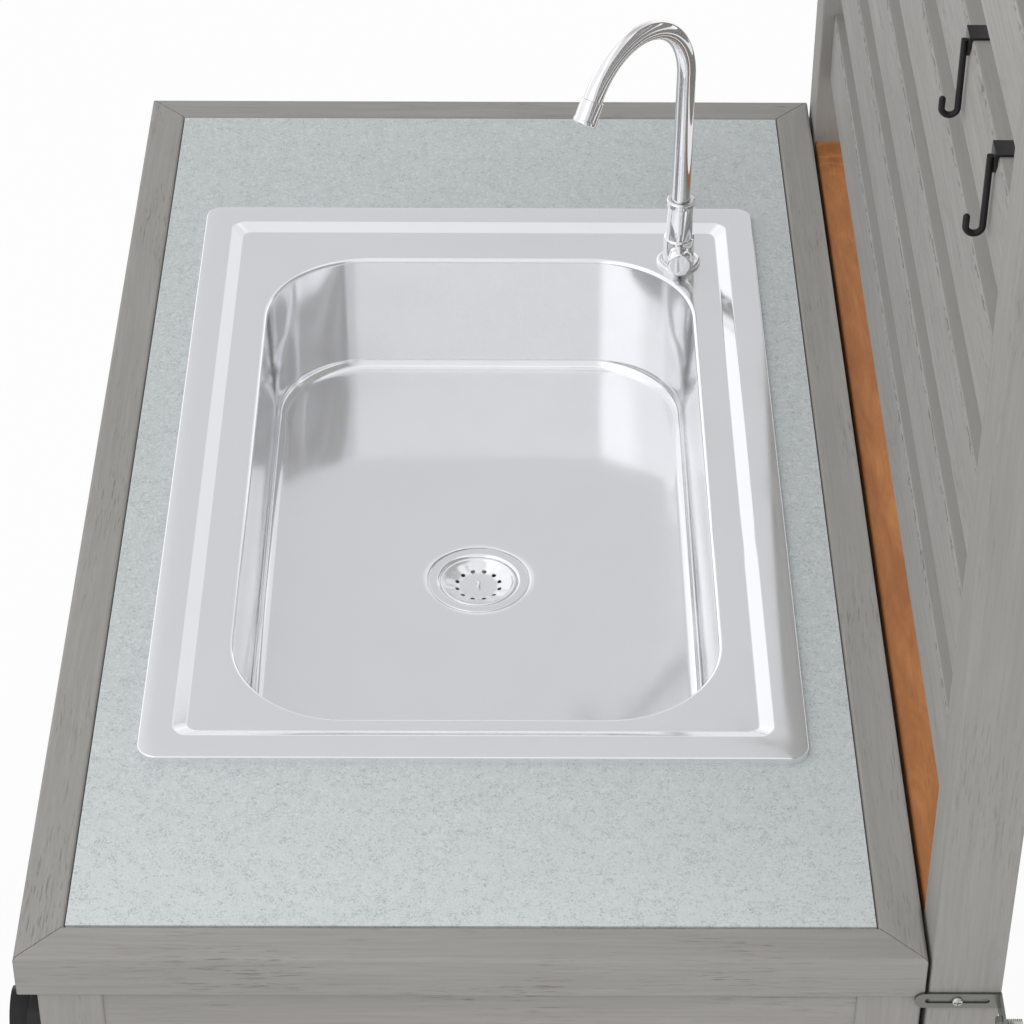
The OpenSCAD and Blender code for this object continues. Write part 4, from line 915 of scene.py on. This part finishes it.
class SINKTABLE_OT_ironwork(bpy.types.Operator):
    """Models the brackets' screws and bolt threads, and finishes the ironwork"""
    bl_idname = "sinktable.ironwork"
    bl_label = "Finish the ironwork"

    def execute(self, context):
        self.screws()
        self.threads()
        finish_nodes("iron", "hook_near", "hook_far", "bottle_opener")
        finish_nodes("zinc", "wall_brackets", "opener_screws", "tie_bolts", "tie_spacers")
        return {"FINISHED"}

    @staticmethod
    def both_ends(obj):
        """Adds the mirrored copy at the table's far end."""
        with editing(obj):
            bpy.ops.mesh.duplicate()
            bpy.ops.transform.resize(value=(-1, 1, 1), center_override=(0, 0, 0))
        outward(obj)

    def screws(self):
        """Pan-head screws with a cross recess."""
        low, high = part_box("bracket_screws")
        place = (0, (low.y + high.y) / 2, (low.z + high.z) / 2)
        r = (high.z - low.z) / 2 / MM
        tip = high.x / MM
        head_h, shank_r, shank_l, point_l = 2.4, 2, 30, 4
        seat = tip - head_h
        head = [(0, seat - shank_l), (1.2, seat - shank_l + 1),
                (shank_r, seat - shank_l + point_l), (shank_r, seat), (r, seat),
                (r, seat + 0.8), (r - 0.2, seat + 1.3), (r - 0.7, seat + 1.8),
                (r - 1.5, seat + 2.2), (r - 2.4, tip), (0, tip)]
        obj = turned("bracket_screws_turned", head, place, axis="X", steps=40)
        settle(obj, SMOOTH_SMALL)
        recess, bar_l, bar_w = 3.4, 5, 1.1
        for bar in ((recess, bar_l, bar_w), (recess, bar_w, bar_l)):
            slot = start("driver_slot", bpy.ops.mesh.primitive_cube_add, size=MM,
                         location=(high.x, *place[1:]), scale=bar)
            modify(obj, "BOOLEAN", object=slot, operation="DIFFERENCE", solver="EXACT")
            bpy.data.objects.remove(slot)
        self.both_ends(obj)
        settle(obj, SMOOTH_SMALL)
        finish(obj, "table", MATERIALS["bright_zinc"], "zinc", "bracket_screws")

    def threads(self):
        """Threads over the free ends of the wall bolts."""
        low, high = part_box("wall_brackets")
        strip = 13 * MM
        place = (high.x - strip / 2, 0, (low.z + high.z) / 2)
        pitch, turns = 1.25, 8
        core, valley, crest = 2.6, 3.02, 3.45
        end = high.y / MM - 0.1
        foot = end - turns * pitch
        ridge = [(core, foot)]
        for k in range(turns):
            ridge += [(valley, foot + k * pitch), (crest, foot + (k + 0.5) * pitch)]
        ridge += [(valley, end), (core, end), (core, foot)]
        obj = turned("wall_bolt_threads", ridge, place, axis="Y", steps=40)
        settle(obj, SMOOTH_THREAD)
        self.both_ends(obj)
        settle(obj, SMOOTH_THREAD)
        finish(obj, "table", MATERIALS["bright_zinc"], "zinc")


class SINKTABLE_OT_stage(bpy.types.Operator):
    """Sets the floor, the studio lights and the camera"""
    bl_idname = "sinktable.stage"
    bl_label = "Set the stage"

    def execute(self, context):
        self.floor()
        self.world(context.scene)
        self.lamp("key_light", place=(1.4, -2.2, 3.8), aim=(0.1, 0, 0.8), size=2.6, power=10)
        self.lamp("near_light", place=(1.7, -0.4, 2.9), aim=(0.6, 0, 0.9), size=1.2, power=13)
        self.camera(context.scene)
        context.scene.view_settings.view_transform = "Standard"
        return {"FINISHED"}

    @staticmethod
    def floor():
        floor_size, grey, glow = 16, 0.97, 0.92
        obj = start("studio_floor", bpy.ops.mesh.primitive_plane_add, size=floor_size,
                    location=(0, 0, 0))
        material = bpy.data.materials.new("studio_floor")
        material.use_nodes = True
        material.node_tree.nodes.clear()
        t = Tree(material.node_tree)
        matt = t.add("ShaderNodeBsdfDiffuse", {"Color": rgba((grey, grey, grey))}).outputs[0]
        white = t.add("ShaderNodeEmission", {"Color": rgba((1, 1, 1))}).outputs[0]
        path = t.add("ShaderNodeLightPath").outputs
        seen = t.maths("MAXIMUM", path["Is Camera Ray"], path["Is Glossy Ray"])
        mixed = t.add("ShaderNodeMixShader", {0: t.maths("MULTIPLY", seen, glow), 1: matt,
                                              2: white}).outputs[0]
        t.add("ShaderNodeOutputMaterial", {"Surface": mixed})
        obj.data.materials.append(material)

    @staticmethod
    def world(scene):
        world = bpy.data.worlds.new("studio")
        scene.world = world
        world.use_nodes = True
        world.node_tree.nodes.clear()
        t = Tree(world.node_tree)
        path = t.add("ShaderNodeLightPath").outputs
        direction = t.add("ShaderNodeTexCoord").outputs["Generated"]
        studio, ambient = 0.66, 0.79
        # The metal shows a pale studio with brighter cards around the table
        x, y, z = t.add("ShaderNodeSeparateXYZ", {0: direction}).outputs
        near = t.maths("MULTIPLY", t.span(x, 0.25, 0.5, 0, 0.23), t.span(y, 0.3, 0.2))
        user = t.span(y, -0.13, -0.26, 0, 0.46)
        panel = t.maths("MULTIPLY", t.span(y, 0.13, 0.2, 0, 0.22), t.span(x, 0.0, -0.15))
        overhead = t.span(z, 0.8, 0.9, 0, 0.24)
        horizon = t.maths("MULTIPLY", t.span(z, 0.44, 0.3, 0, 0.34), t.span(x, -0.4, -0.6))
        level = t.maths("ADD", t.maths("ADD", near, user), t.maths("ADD", panel, overhead))
        level = t.maths("ADD", t.maths("ADD", level, horizon), studio)
        sky = t.mix(1.0, rgba((1.0, 1.0, 1.02)), level, "MULTIPLY")
        soft = t.mix(path["Is Glossy Ray"], rgba((ambient, ambient, ambient)), sky)
        seen = t.mix(path["Is Camera Ray"], soft, rgba((1, 1, 1)))
        back = t.add("ShaderNodeBackground", {"Color": seen}).outputs[0]
        t.add("ShaderNodeOutputWorld", {"Surface": back})

    @staticmethod
    def lamp(name, place, aim, size, power):
        deselect()
        bpy.ops.object.light_add(type="AREA", location=place)
        lamp = bpy.context.object
        lamp.name = lamp.data.name = name
        lamp.data.size = size
        lamp.data.energy = power
        lamp.visible_glossy = False
        way = Vector(aim) - Vector(place)
        lamp.rotation_mode = "QUATERNION"
        lamp.rotation_quaternion = way.to_track_quat("-Z", "Y")

    @staticmethod
    def camera(scene):
        v = scene.sinktable_view
        deselect()
        bpy.ops.object.camera_add(location=v.place)
        cam = bpy.context.object
        cam.name = cam.data.name = "photo_camera"
        turn = (Matrix.Rotation(math.radians(90 + v.yaw), 4, "Z")
                @ Matrix.Rotation(math.radians(90 - v.pitch), 4, "X")
                @ Matrix.Rotation(math.radians(v.roll), 4, "Z"))
        cam.rotation_euler = turn.to_euler()
        cam.data.sensor_width = 36
        cam.data.lens = v.lens
        cam.data.shift_y = v.shift
        cam.data.clip_start = 0.05
        scene.camera = cam


class SINKTABLE_PT_panel(bpy.types.Panel):
    bl_label = "Sink Table"
    bl_idname = "SINKTABLE_PT_panel"
    bl_space_type = "VIEW_3D"
    bl_region_type = "UI"
    bl_category = "Sink Table"

    def draw(self, context):
        layout = self.layout
        for operator in OPERATORS:
            layout.operator(operator.bl_idname)
        for group_name in GROUP_CLASSES:
            box = layout.box()
            settings = getattr(context.scene, group_name)
            for prop in settings.bl_rna.properties:
                if prop.identifier not in ("rna_type", "name"):
                    box.prop(settings, prop.identifier)


OPERATORS = (SINKTABLE_OT_finishes, SINKTABLE_OT_boards, SINKTABLE_OT_countertop,
             SINKTABLE_OT_sink, SINKTABLE_OT_drain, SINKTABLE_OT_tap, SINKTABLE_OT_ironwork,
             SINKTABLE_OT_stage)
GROUP_CLASSES = {"sinktable_colours": SINKTABLE_PG_colours, "sinktable_sink": SINKTABLE_PG_sink,
                 "sinktable_tap": SINKTABLE_PG_tap, "sinktable_view": SINKTABLE_PG_view}


def register():
    for name, cls in GROUP_CLASSES.items():
        bpy.utils.register_class(cls)
        setattr(bpy.types.Scene, name, bpy.props.PointerProperty(type=cls))
    for cls in (*OPERATORS, SINKTABLE_PT_panel):
        bpy.utils.register_class(cls)


def unregister():
    for cls in (SINKTABLE_PT_panel, *reversed(OPERATORS)):
        bpy.utils.unregister_class(cls)
    for name, cls in GROUP_CLASSES.items():
        delattr(bpy.types.Scene, name)
        bpy.utils.unregister_class(cls)


def main():
    register()
    bpy.ops.sinktable.finishes()
    bpy.ops.sinktable.boards()
    bpy.ops.sinktable.countertop()
    bpy.ops.sinktable.sink()
    bpy.ops.sinktable.drain()
    bpy.ops.sinktable.tap()
    bpy.ops.sinktable.ironwork()
    bpy.ops.sinktable.stage()


if __name__ == "__main__":
    main()
